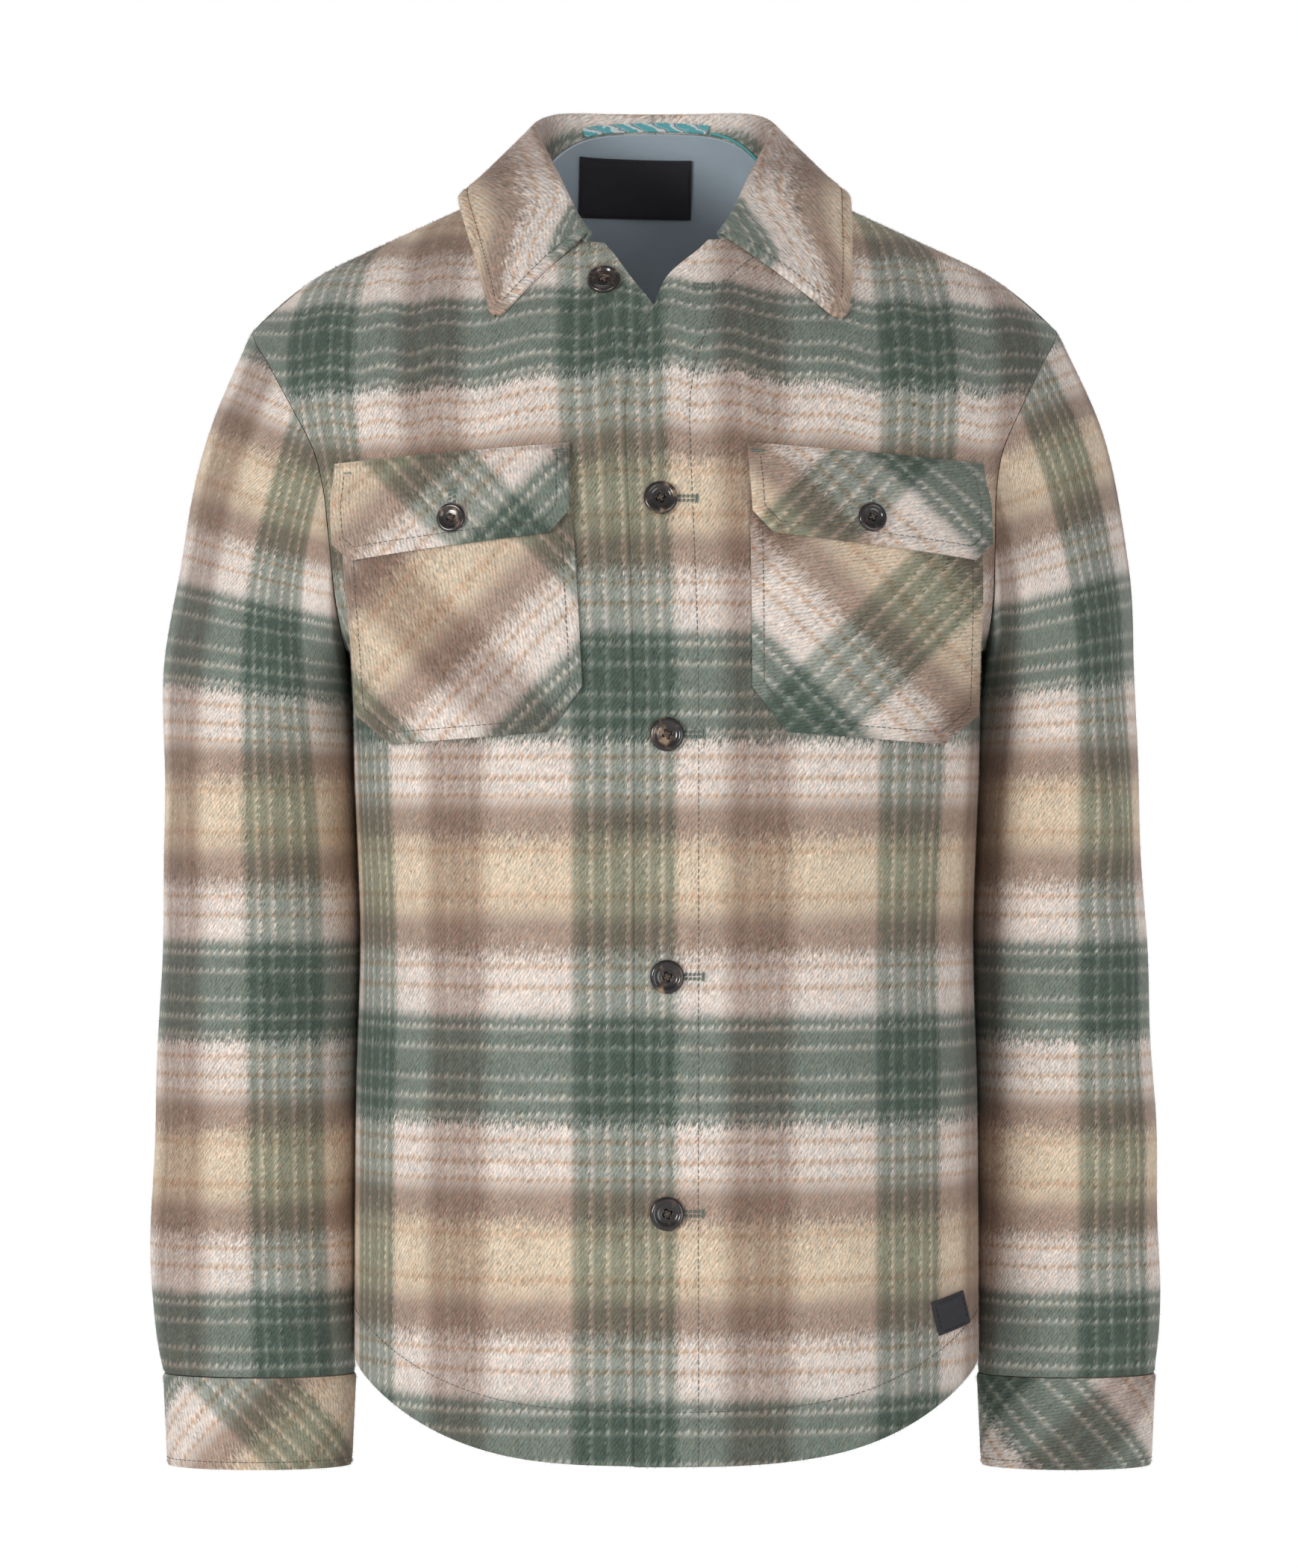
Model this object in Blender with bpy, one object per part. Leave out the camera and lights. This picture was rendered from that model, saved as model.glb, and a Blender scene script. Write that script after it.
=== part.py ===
"""Long-sleeved button-front overshirt (shacket), filled out as it hangs on a figure with no wearer.

Metres, +Z up, front towards -Y, +X is the wearer's left. z = 0 is the height of the neck-side
shoulder points, and every cloth piece is a closed wall built from a rule for its outer surface.
"""
import math

import bmesh
import bpy
import numpy as np
from mathutils import Matrix, Vector

# Cloth
WALL = 0.0022            # brushed wool, one layer
LINING_WALL = 0.0012
LABEL_WALL = 0.0009
NUDGE = 0.000013         # keeps a ray off the edges between faces
SEAM_GAP = 0.0003        # between pieces that are sewn together
BAND_STEP = (WALL + 2 * SEAM_GAP) / 2   # each front moves this far, one out and one in, to overlap

# Body
ARMPIT_Z = -0.272
SHOULDER_TOP_Z = 0.0467  # where the two shoulder slopes would meet over the neck
SHOULDER_SLOPE = 0.475
SHOULDER_ROUND = 5.5     # how fast the slope drops away past ROUND_FROM
ROUND_FROM = 0.185
NAPE_RISE = 0.040        # the back is cut this much higher than the shoulder slopes at its centre
NAPE_DROP = 0.0275       # the neck seam's depth below the back's own top there
RIDGE_Y = 0.010          # the shoulder seam's depth
FRONT_DEPTH = 0.147      # chest in front of the side seams
BACK_DEPTH = 0.133
COLUMN_POWER = 2.4       # spreads a panel's columns round the body's section
SHOULDER_X = 0.2365      # half the shoulder width, seam to seam
NECK_X = 0.072           # half the neck width at the shoulder seams
HEM_Z = -0.734           # lowest point of the shirt tail
HEM_RISE = 0.051         # how much higher the hem is at the side seams
HEM_POWER = 3.7          # a high power keeps the hem level until near the sides
WAIST = {"depth": 0.012, "z": -0.46, "reach": 0.12}   # hollow of the back

# Half width of the body from the centre line (armhole edge above the armpit, side seam below)
#            z       half_width
BODY_SIDE = [(0.100, 0.2365),
             (-0.081, 0.2365),
             (-0.107, 0.2238),
             (-0.130, 0.2116),
             (-0.157, 0.1985),
             (-0.180, 0.1935),
             (-0.205, 0.1915),
             (-0.240, 0.1890),
             (-0.272, 0.1860),
             (-0.350, 0.1835),
             (-0.440, 0.1805),
             (-0.530, 0.1830),
             (-0.760, 0.1840)]

# Power of the superellipse that a level cut through the body follows
#                z       power
SECTION_POWER = [(-0.205, 2.40),
                 (-0.272, 3.05),
                 (-0.360, 2.75),
                 (-0.500, 2.50),
                 (-0.760, 2.50)]

# How far the armhole edge has come round the section: 1 is the side seam, less is nearer the front
#             z       share
ARMHOLE_CUT = [(-0.272, 1.000),
               (-0.262, 0.970),
               (-0.245, 0.925),
               (-0.215, 0.880),
               (-0.180, 0.870),
               (-0.081, 0.870)]

# Front edges from the neck corner down, from the centre line, positive towards the other front
#             z       left_front  right_front
FRONT_EDGE = [(-0.030, -0.0350, -0.0350),
              (-0.038, -0.0290, -0.0275),
              (-0.058, -0.0075, -0.0130),
              (-0.076, 0.0005, 0.0005),
              (-0.095, 0.0085, 0.0085),
              (-0.120, 0.0155, 0.0140),
              (-0.150, 0.0180, 0.0165),
              (-0.760, 0.0185, 0.0165)]

# Neck seam of the fronts, from the front edge's corner to the shoulder seam
#              x       z
FRONT_NECK = [(0.0350, -0.0360),
              (0.0430, -0.0345),
              (0.0530, -0.0290),
              (0.0630, -0.0195),
              (0.0695, -0.0070),
              (NECK_X, 0.0087)]

# Mesh rows and columns of a half panel
ARMHOLE_ROWS = 11
HEM_ROWS = 11
PANEL_COLUMNS = 15

# Soft folds on the fronts: from one end to the other, half width, height (minus is a trough)
#          x1      z1      x2      z2     width  height
FOLDS = [(0.2120, -0.072, 0.2000, -0.150, 0.012, 0.0045),
         (0.1930, -0.062, 0.1800, -0.165, 0.012, -0.0035),
         (-0.2120, -0.075, -0.1960, -0.150, 0.012, 0.0045),
         (-0.1930, -0.062, -0.1780, -0.170, 0.012, -0.0035),
         (0.1500, -0.050, 0.1420, -0.125, 0.014, 0.0020),
         (-0.1560, -0.050, -0.1500, -0.120, 0.014, 0.0020),
         (0.1690, -0.370, 0.1500, -0.480, 0.020, -0.0030),
         (-0.1700, -0.380, -0.1560, -0.520, 0.022, -0.0030)]

# Sleeve, from the armhole to the cuff: outer line and gap to the body of each, front and rear
#          t     left_x  right_x  left_gap right_gap front_y   rear_y
SLEEVE = [(0.00, 0.2375, 0.2375, 0.0010, 0.0010, -0.0830, 0.0830),
          (0.05, 0.2543, 0.2534, 0.0030, 0.0030, -0.0830, 0.0850),
          (0.12, 0.2694, 0.2697, 0.0045, 0.0045, -0.0820, 0.0850),
          (0.20, 0.2767, 0.2802, 0.0045, 0.0045, -0.0800, 0.0830),
          (0.30, 0.2820, 0.2895, 0.0040, 0.0045, -0.0740, 0.0800),
          (0.40, 0.2835, 0.2903, 0.0035, 0.0045, -0.0680, 0.0740),
          (0.50, 0.2863, 0.2894, 0.0030, 0.0045, -0.0640, 0.0660),
          (0.60, 0.2903, 0.2929, 0.0025, 0.0055, -0.0600, 0.0600),
          (0.70, 0.2931, 0.2947, 0.0022, 0.0060, -0.0570, 0.0540),
          (0.80, 0.2940, 0.2964, 0.0020, 0.0065, -0.0530, 0.0480),
          (0.90, 0.2949, 0.2958, 0.0020, 0.0075, -0.0470, 0.0420),
          (0.97, 0.2938, 0.2929, 0.0020, 0.0080, -0.0410, 0.0370),
          (1.00, 0.2925, 0.2895, 0.0015, 0.0085, -0.0370, 0.0340)]
SLEEVE_END_Z = -0.6945
CUFF_HEIGHT = 0.0535
CUFF_WALL = 0.0030
SLEEVE_RINGS = [0.0, 0.03, 0.07, 0.12, 0.18, 0.25, 0.33, 0.41, 0.49, 0.57, 0.65, 0.73, 0.81, 0.88, 0.95, 1.0]
CUFF_TAPER = 0.0025      # the cuff is this much narrower on each side at its lower edge

# Collar sections from the back centre to the front end: seam x, roll line, outer edge
#          seam_x  roll_x  roll_y  roll_z  edge_x  edge_y  edge_z
COLLAR = [(0.0000, 0.0000, 0.0770, 0.0535, 0.0000, 0.1010, 0.0040),
          (0.0280, 0.0310, 0.0740, 0.0535, 0.0450, 0.0990, 0.0030),
          (0.0520, 0.0600, 0.0570, 0.0510, 0.0870, 0.0800, 0.0020),
          (0.0660, 0.0710, 0.0290, 0.0400, 0.1120, 0.0450, 0.0010),
          (0.0718, 0.0665, -0.0050, 0.0210, 0.1160, 0.0040, -0.0030),
          (0.0690, 0.0590, -0.0340, 0.0005, 0.1130, -0.0350, -0.0240),
          (0.0570, 0.0490, -0.0560, -0.0170, 0.1080, -0.0670, -0.0540),
          (0.0390, 0.0385, -0.0740, -0.0305, 0.1020, -0.0930, -0.0860)]
BACK_SHARE = 4 / 7       # the sections up to here stand on the back's neck edge
LINING_COLUMNS = 9
LINING_ROWS = 8
COLLAR_WALL = 0.0028
COLLAR_THIN = [1.0, 0.57, 0.57, 0.64, 0.79, 1.0, 1.0, 1.0, 1.0]   # thinner round the roll
COLLAR_LIFT = 0.0016     # least height of the turned-down leaf over the cloth below it

# Patch pockets and flaps, drawn on the fronts: rows down the piece, x from the centre line
#           z_in    x_in    z_out   x_out
POCKET = [(-0.1720, 0.0505, -0.1840, 0.1830),
          (-0.2940, 0.0480, -0.3088, 0.1775),
          (-0.3196, 0.0675, -0.3262, 0.1560)]
FLAP = [(-0.1558, 0.0500, -0.1656, 0.1850),
        (-0.1955, 0.0510, -0.2130, 0.1840),
        (-0.2083, 0.0625, -0.2225, 0.1740)]
POCKET_WALL = 0.0018
PATCH_SIDE_LIFT = 0.0008 # more room where the front turns to the side
POCKET_PUFF = 0.0020     # how far the middle of a pocket stands out
POCKET_LIFT = (0.0010, 0.0010)   # clearance over the front, at the top and at the lower edge
FLAP_LIFT = (0.0009, 0.0048)

# Buttons
BUTTON_RADIUS = 0.0097
BUTTON_HEIGHT = 0.0034
FLAP_BUTTON_RADIUS = 0.0085
BUTTON_SEAT = 0.0005     # thread shank between button and cloth
#                z of the closed front buttons
BUTTON_ROWS = [-0.1880, -0.3210, -0.4575, -0.5910]
OPEN_BUTTON = (-0.0290, -0.0600)
FLAP_BUTTON = (0.1165, -0.1998)
CUFF_BUTTON = (0.2450, -0.7215)   # x and z, on the rear of each cuff

# Labels: centre, size, turn in degrees
NECK_LABEL = {"x": -0.0120, "z": 0.0115, "width": 0.0700, "height": 0.0345, "turn": -1.0}
HANGER_TAPE = {"x": -0.0060, "width": 0.0740, "height": 0.0070}
HEM_LABEL = {"x": 0.1600, "z": -0.6515, "width": 0.0200, "height": 0.0200, "turn": 14.0}


def column(table, index):
    return np.array([row[index] for row in table], dtype=float)


def smooth_table(value, table, index):
    """A table's column read at `value` (its first column) by monotone cubic pieces."""
    place, height = column(table, 0), column(table, index)
    if place[0] > place[-1]:
        place, height = place[::-1], height[::-1]
    slope = np.gradient(height, place)
    step = np.diff(height) / np.diff(place)
    limit = 3 * np.minimum(np.abs(np.append(step, step[-1])), np.abs(np.insert(step, 0, step[0])))
    slope = np.clip(slope, -limit, limit)
    value = np.clip(value, place[0], place[-1])
    spot = np.clip(np.searchsorted(place, value) - 1, 0, len(place) - 2)
    width = place[spot + 1] - place[spot]
    t = (value - place[spot]) / width
    return ((1 + 2 * t) * (1 - t) ** 2 * height[spot] + t * (1 - t) ** 2 * width * slope[spot]
            + t * t * (3 - 2 * t) * height[spot + 1] + t * t * (t - 1) * width * slope[spot + 1])


def ease(value):
    value = np.clip(value, 0.0, 1.0)
    return value * value * (3 - 2 * value)


def centre_x(z):
    """The body's centre line leans a few millimetres towards the wearer's left as it falls."""
    return -0.0015 + 0.0072 * ease((-0.06 - z) / 0.26)


def shoulder_ridge(x, back):
    """Height of the shoulder line: a straight slope that rounds off at the neck and the sleeve."""
    away = np.abs(x)
    height = SHOULDER_TOP_Z - SHOULDER_SLOPE * np.sqrt(away ** 2 + (NECK_X / 2) ** 2)
    height = height - SHOULDER_ROUND * np.clip(away - ROUND_FROM, 0, None) ** 2
    nape = NAPE_RISE * (1 - np.clip(away / NECK_X, 0, 1) ** 4)
    return height + (nape if back else 0.0)


def fold_height(x, z):
    """The sum of the soft folds: each a rounded ridge or trough along a line, fading at its ends."""
    total = np.zeros(np.broadcast(x, z).shape)
    for x1, z1, x2, z2, width, height in FOLDS:
        length = math.hypot(x2 - x1, z2 - z1)
        along = ((x - x1) * (x2 - x1) + (z - z1) * (z2 - z1)) / length ** 2
        across = ((x - x1) * (z2 - z1) - (z - z1) * (x2 - x1)) / length
        total += height * np.exp(-(across / width) ** 2 - (2.0 * along - 1.0) ** 4)
    return total


def body_y(x, z, back):
    """Depth of the body's outer surface at a point of the front view.

    Below the armpit a level cut is a superellipse. Above it the same curve is drawn in towards
    the shoulder line, which it meets level, and it is wider than the armhole that cuts it.
    """
    across = x - centre_x(z)
    side = smooth_table(z, BODY_SIDE, 1)
    full = side / smooth_table(np.clip(z, ARMPIT_Z, -0.081), ARMHOLE_CUT, 1)
    share = np.clip(np.abs(across) / full, 0, 1)
    power = smooth_table(z, SECTION_POWER, 1)
    bulge = (1 - share ** power) ** (1 / power)
    depth = BACK_DEPTH if back else -FRONT_DEPTH
    ridge = shoulder_ridge(across, back)
    rise = np.clip((z - ARMPIT_Z) / (ridge - ARMPIT_Z), 0, 1)
    pull = (1 - rise ** 3) ** 0.5 if back else (1 - rise ** 2) ** 0.625
    y = RIDGE_Y * (1 - pull) + depth * bulge * pull
    if not back:
        y = y - fold_height(x, z) * bulge * pull
    else:
        waist = WAIST["depth"] * np.exp(-((z - WAIST["z"]) / WAIST["reach"]) ** 2)
        y = y - waist * bulge
    return y


def surface_point(x, z, back=False):
    return np.stack([x, body_y(x, z, back), z], axis=-1)


def grid_normals(grid, flip=1.0):
    """Unit normals of a grid of points, from its own neighbours."""
    down, across = np.gradient(grid, axis=0), np.gradient(grid, axis=1)
    normal = np.cross(across, down) * flip
    length = np.linalg.norm(normal, axis=-1, keepdims=True)
    return normal / np.maximum(length, 1e-12)


def material(name, colour, roughness, metallic=0.0):
    made = bpy.data.materials.new(name)
    made.use_nodes = True
    shader = made.node_tree.nodes["Principled BSDF"]
    shader.inputs["Base Color"].default_value = (*colour, 1.0)
    shader.inputs["Roughness"].default_value = roughness
    shader.inputs["Metallic"].default_value = metallic
    made.diffuse_color = (*colour, 1.0)
    return made


def add_object(name, points, faces, look):
    mesh = bpy.data.meshes.new(name)
    mesh.from_pydata([tuple(p) for p in points], [], faces)
    work = bmesh.new()
    work.from_mesh(mesh)
    bmesh.ops.recalc_face_normals(work, faces=work.faces)
    bmesh.ops.triangulate(work, faces=work.faces)
    work.to_mesh(mesh)
    work.free()
    mesh.materials.append(look)
    mesh.shade_smooth()
    mesh.set_sharp_from_angle(angle=math.radians(50))
    made = bpy.data.objects.new(name, mesh)
    parts.objects.link(made)
    return made


def wall(name, outer, inner, look, closed=False):
    """A closed wall between two grids of points, with a rim along each open edge.

    A closed wall joins its last column to its first, like a sleeve, and has two rims.
    """
    rows, columns = outer.shape[:2]
    points = np.concatenate([outer.reshape(-1, 3), inner.reshape(-1, 3)])
    shift = rows * columns
    faces = []
    spans = columns if closed else columns - 1

    def at(row, col):
        return row * columns + col % columns

    for row in range(rows - 1):
        for col in range(spans):
            quad = (at(row, col), at(row, col + 1), at(row + 1, col + 1), at(row + 1, col))
            faces.append(quad)
            faces.append(tuple(shift + index for index in reversed(quad)))
    edges = [(at(0, col), at(0, col + 1)) for col in range(spans)]
    edges += [(at(rows - 1, col), at(rows - 1, col + 1)) for col in range(spans)]
    if not closed:
        edges += [(at(row, 0), at(row + 1, 0)) for row in range(rows - 1)]
        edges += [(at(row, columns - 1), at(row + 1, columns - 1)) for row in range(rows - 1)]
    faces += [(a, b, shift + b, shift + a) for a, b in edges]
    return add_object(name, points, faces, look)


def top_edge(side, back, columns):
    """Top edge of a body panel in the front view: neck seam, then shoulder seam, outwards."""
    neck_columns = columns // 3
    if back:
        across = np.linspace(0, 1, neck_columns + 1) * NECK_X
        drop = NAPE_DROP * (1 - (across / NECK_X) ** 2)
        neck = np.stack([across, shoulder_ridge(across, True) - drop], axis=-1)
    else:
        place = np.linspace(0, 1, neck_columns + 1)
        knots = np.linspace(0, 1, len(FRONT_NECK))
        neck = np.stack([np.interp(place, knots, column(FRONT_NECK, i)) for i in (0, 1)], axis=-1)
    along = np.linspace(NECK_X, SHOULDER_X, columns - neck_columns + 1)[1:]
    shoulder = np.stack([along, shoulder_ridge(along, back)], axis=-1)
    edge = np.concatenate([neck, shoulder])
    edge[:, 0] = side * edge[:, 0] + centre_x(edge[:, 1])
    return edge


def panel_grid(side, back):
    """Front-view x and z of a half panel: columns run from the centre to the side.

    Each column starts on the top edge, and one row lies level at the armpit. Lower down a
    column's place is set by the angle round the body's section, so the columns are closer
    together where the cloth turns to the side.
    """
    top = top_edge(side, back, PANEL_COLUMNS)
    turn = np.linspace(0, math.pi / 2, PANEL_COLUMNS + 1)
    low = np.sin(turn) ** (2 / COLUMN_POWER)
    low[-1] = 1.0
    which = 1 if side > 0 else 2

    def inner_edge(z):
        if back:
            return centre_x(z)
        return centre_x(z) - side * smooth_table(z, FRONT_EDGE, which)

    def outer_edge(z):
        return centre_x(z) + side * smooth_table(z, BODY_SIDE, 1)

    start = (top[:, 0] - inner_edge(top[:, 1])) / (outer_edge(top[:, 1]) - inner_edge(top[:, 1]))
    start[0], start[-1] = 0.0, 1.0
    upper = (1 - np.cos(np.linspace(0, math.pi, ARMHOLE_ROWS + 1)))[:, None] / 2
    lower = np.linspace(0, 1, HEM_ROWS + 1)[1:, None]
    hem = HEM_Z + HEM_RISE * low ** HEM_POWER
    z = np.concatenate([top[None, :, 1] * (1 - upper) + ARMPIT_Z * upper,
                        ARMPIT_Z * (1 - lower) + hem[None, :] * lower])
    settled = np.concatenate([ease(upper / 0.9), np.ones_like(lower)])
    place = start[None, :] + (low - start)[None, :] * settled
    x = inner_edge(z) + (outer_edge(z) - inner_edge(z)) * place
    return x, z


def trimmed(grid):
    """The grid with its edges drawn in by half the seam gap, so that sewn pieces stay apart."""
    grid = grid.copy()
    for edge, inside in ((0, 1), (-1, -2)):
        for view in (grid, grid.swapaxes(0, 1)):
            run = view[inside] - view[edge]
            length = np.maximum(np.linalg.norm(run, axis=-1, keepdims=True), 1e-9)
            view[edge] += run / length * SEAM_GAP
    return grid


def panel_normals(grid, flip, outer_columns, back):
    """Grid normals, made level or upright along the seams that front and back share."""
    normal = grid_normals(grid, flip)
    normal[0] = front_frame(grid[0, :, 0], grid[0, :, 2], back)[1]
    for column_index in outer_columns:
        side = 1.0 if grid[0, column_index, 0] > 0 else -1.0
        below = grid[:, column_index, 2] < ARMPIT_Z
        normal[below, column_index] = (side, 0.0, 0.0)
    on_seam = np.abs(grid[0, :, 1] - RIDGE_Y) < SEAM_GAP
    across = grid[0, :, 0] - centre_x(grid[0, :, 2])
    step = 0.001
    slope = (shoulder_ridge(across + step, False) - shoulder_ridge(across - step, False)) / (2 * step)
    upright = np.stack([-slope, np.zeros_like(slope), np.ones_like(slope)], axis=-1)
    upright /= np.linalg.norm(upright, axis=-1, keepdims=True)
    normal[0, on_seam] = upright[on_seam]
    normal[1, on_seam] = (normal[0] + normal[1] + normal[2])[on_seam]
    return normal / np.linalg.norm(normal, axis=-1, keepdims=True)


def body_panel(name, side, look):
    x, z = panel_grid(side, False)
    outer = surface_point(x, z)
    normal = grid_normals(outer, -side)
    band = ease((0.055 - np.abs(x - centre_x(z))) / 0.03)[..., None]
    outer = outer + normal * band * side * BAND_STEP
    inner = trimmed(outer - panel_normals(outer, -side, [-1], False) * WALL)
    return wall(name, trimmed(outer), inner, look)


def build_back(look):
    x, z = panel_grid(1, True)
    half = surface_point(x, z, True)
    mirror_x, mirror_z = panel_grid(-1, True)
    left = surface_point(mirror_x, mirror_z, True)[:, ::-1]
    grid = np.concatenate([left, half[:, 1:]], axis=1)
    inner = trimmed(grid - panel_normals(grid, 1.0, [0, -1], True) * WALL)
    return wall("back", trimmed(grid), inner, look)


def armhole_loop(side):
    """Outer points of the armhole edge: top, down the front, armpit, up the back."""
    loops = []
    for back in (False, True):
        x, z = panel_grid(side, back)
        edge = surface_point(x, z, back)[:ARMHOLE_ROWS + 1, -1]
        loops.append(edge)
    return np.concatenate([loops[0], loops[1][-2:0:-1]])


def sleeve_ring(side, t):
    """One ring of the sleeve: from a slanted one at the armhole to a level one at the cuff."""
    count = 2 * ARMHOLE_ROWS
    angle = np.arange(count) * 2 * math.pi / count
    top_z = shoulder_ridge(SHOULDER_X, False)
    outer_z = top_z + (SLEEVE_END_Z - top_z) * (1 - (1 - t) ** 1.16)
    inner_z = ARMPIT_Z + (SLEEVE_END_Z - ARMPIT_Z) * t ** 1.5
    outer_x = side * smooth_table(t, SLEEVE, 1 if side > 0 else 2)
    gap = smooth_table(t, SLEEVE, 3 if side > 0 else 4)
    inner_x = centre_x(inner_z) + side * (smooth_table(inner_z, BODY_SIDE, 1) + gap)
    front, rear = smooth_table(t, SLEEVE, 5), smooth_table(t, SLEEVE, 6)
    swing = np.cos(angle)
    x = (outer_x + inner_x) / 2 + (outer_x - inner_x) / 2 * swing
    z = (outer_z + inner_z) / 2 + (outer_z - inner_z) / 2 * swing
    y = (front + rear) / 2 + (front - rear) / 2 * np.sin(angle)
    return np.stack([x, y, z], axis=-1)


def tube_normals(grid, side):
    """Outward normals of a closed tube of rings."""
    down = np.gradient(grid, axis=0)
    across = np.roll(grid, -1, axis=1) - np.roll(grid, 1, axis=1)
    normal = np.cross(across, down) * side
    return normal / np.linalg.norm(normal, axis=-1, keepdims=True)


def build_sleeve(name, side, look):
    loop = armhole_loop(side)
    loop[:, 0] += side * 2 * SEAM_GAP
    rings = []
    for t in SLEEVE_RINGS:
        settled = ease(t / 0.22)
        rings.append(sleeve_ring(side, t) + (loop - sleeve_ring(side, 0.0)) * (1 - settled))
    outer = np.array(rings)
    inward = -tube_normals(outer, side)
    first = loop.mean(axis=0) - loop
    first[:, 0] = 0
    inward[0] = first / np.linalg.norm(first, axis=-1, keepdims=True)
    inward[-1, :, 2] = 0
    return wall(name, outer, outer + inward * WALL, look, closed=True)


def build_cuff(name, side, look):
    """A closed band below the sleeve, a little narrower at its lower edge."""
    end = sleeve_ring(side, 1.0)
    middle = end.mean(axis=0)
    rows = []
    for share in np.linspace(0, 1, 4):
        grow = CUFF_WALL - WALL - CUFF_TAPER * share
        away = end - middle
        away /= np.linalg.norm(away, axis=-1, keepdims=True)
        rows.append(end + away * grow - np.array([0, 0, 2 * SEAM_GAP + CUFF_HEIGHT * share]))
    outer = np.array(rows)
    away = outer - outer.mean(axis=1, keepdims=True)
    away[..., 2] = 0
    away /= np.linalg.norm(away, axis=-1, keepdims=True)
    return wall(name, outer, outer - away * CUFF_WALL, look, closed=True)


def neck_edge(side, back):
    """Outer and inner corners of a panel's neck edge, moved a seam's gap up the cloth."""
    x, z = panel_grid(side, back)
    grid = surface_point(x, z, back)
    normal = panel_normals(grid, side if back else -side, [], back)
    count = PANEL_COLUMNS // 3 + 1
    up = grid[0] - grid[1]
    up /= np.linalg.norm(up, axis=-1, keepdims=True)
    outer = (grid[0] + up * SEAM_GAP)[:count]
    return outer, outer - normal[0, :count] * WALL


def collar_grid(columns=33):
    """Face of the collar next to the neck and on top of the leaf, and its hidden face.

    Each section runs up the stand, round a tight roll and down the leaf to its edge.
    """
    knots = np.linspace(0, 1, len(COLLAR))
    face, foot = [], []
    for place in np.linspace(-1, 1, columns):
        side = math.copysign(1, place)
        read = [float(smooth_table(abs(place), list(zip(knots, column(COLLAR, i))), 1))
                for i in range(7)]
        seam, outer_seam = neck_corners(side, abs(place), read[0])
        roll = np.array([side * read[1] + centre_x(0.0), read[2], read[3]])
        edge = np.array([side * read[4] + centre_x(0.0), read[5], read[6]])
        out = edge - seam
        out[2] = 0
        out /= np.linalg.norm(out)
        up = np.array([0, 0, 1.0])
        room = min(1.0, (roll[2] - seam[2]) / 0.012)
        roll_in = roll - out * 0.0036 - up * 0.0030 * room
        roll_out = roll + out * 0.0044 - up * 0.0026
        section = [seam, seam * 0.5 + roll_in * 0.5, roll_in, roll, roll_out]
        for share in (0.25, 0.5, 0.75, 1.0):
            point = roll_out + (edge - roll_out) * share
            point = point + up * 0.0022 * math.sin(math.pi * share)
            section.append(on_top(point))
        face.append(section)
        foot.append(outer_seam)
    return np.array(face).swapaxes(0, 1), np.array(foot)


def neck_corners(side, place, seam_x):
    """The neck edge's inner and outer corner where a collar section stands on it."""
    corners = neck_edge(side, place <= BACK_SHARE)
    across = np.abs(corners[0][:, 0] - centre_x(corners[0][:, 2]))
    order = np.argsort(across)
    return [np.array([np.interp(seam_x, across[order], corner[order, i]) for i in range(3)])
            for corner in reversed(corners)]


def on_top(point):
    """The point, brought forward or back where it would sink into the cloth below the leaf."""
    x, y, z = point
    back = y > RIDGE_Y
    if z < shoulder_ridge(x - centre_x(z), False) - 0.001:
        level = float(body_y(np.array(x), np.array(z), back))
        room = COLLAR_WALL + COLLAR_LIFT
        y = max(y, level + room) if back else min(y, level - room)
    return np.array([x, y, z])


def build_collar(look):
    face, foot = collar_grid()
    hidden = face - grid_normals(face) * COLLAR_WALL * np.array(COLLAR_THIN)[:, None, None]
    hidden[0] = foot
    return wall("collar", face, hidden, look)


def build_lining(look):
    """The lining seen through the neck: just inside the back, from the neck seam down."""
    x, z = panel_grid(1, True)
    right = surface_point(x, z, True)
    mirror_x, mirror_z = panel_grid(-1, True)
    left = surface_point(mirror_x, mirror_z, True)[:, ::-1]
    grid = np.concatenate([left, right[:, 1:]], axis=1)
    inward = -panel_normals(grid, 1.0, [], True)
    keep = slice(PANEL_COLUMNS - LINING_COLUMNS, PANEL_COLUMNS + LINING_COLUMNS + 1)
    grid, inward = grid[:LINING_ROWS, keep], inward[:LINING_ROWS, keep]
    grid = grid.copy()
    grid[0] += (grid[1] - grid[0]) * 0.25
    near = grid + inward * (WALL + SEAM_GAP)
    return wall("lining_back", near, near + inward * LINING_WALL, look)


def front_frame(x, z, back=False):
    """Surface points and outward normals of the body at places in the front view."""
    step = 0.0005
    point = surface_point(x, z, back)
    along = surface_point(x + step, z, back) - surface_point(x - step, z, back)
    rise = surface_point(x, z + step, back) - surface_point(x, z - step, back)
    normal = np.cross(along, rise) * (-1 if back else 1)
    return point, normal / np.linalg.norm(normal, axis=-1, keepdims=True)


def patch_rows(side, table, rows, columns):
    """Front-view x and z of a patch drawn by a table of its inner and outer edges."""
    lengths = np.cumsum([0] + [abs(b[0] - a[0]) for a, b in zip(table, table[1:])])
    knots = lengths / lengths[-1]
    place = np.unique(np.concatenate([np.linspace(0, 1, rows + 1), knots]))
    z_in, x_in, z_out, x_out = (np.interp(place, knots, column(table, i)) for i in range(4))
    across = 1 - (1 - np.linspace(0, 1, columns + 1)[None, :]) ** 1.5
    z = z_in[:, None] * (1 - across) + z_out[:, None] * across
    x = x_in[:, None] * (1 - across) + x_out[:, None] * across
    return side * x + centre_x(z), z, place[:, None], across


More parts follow.
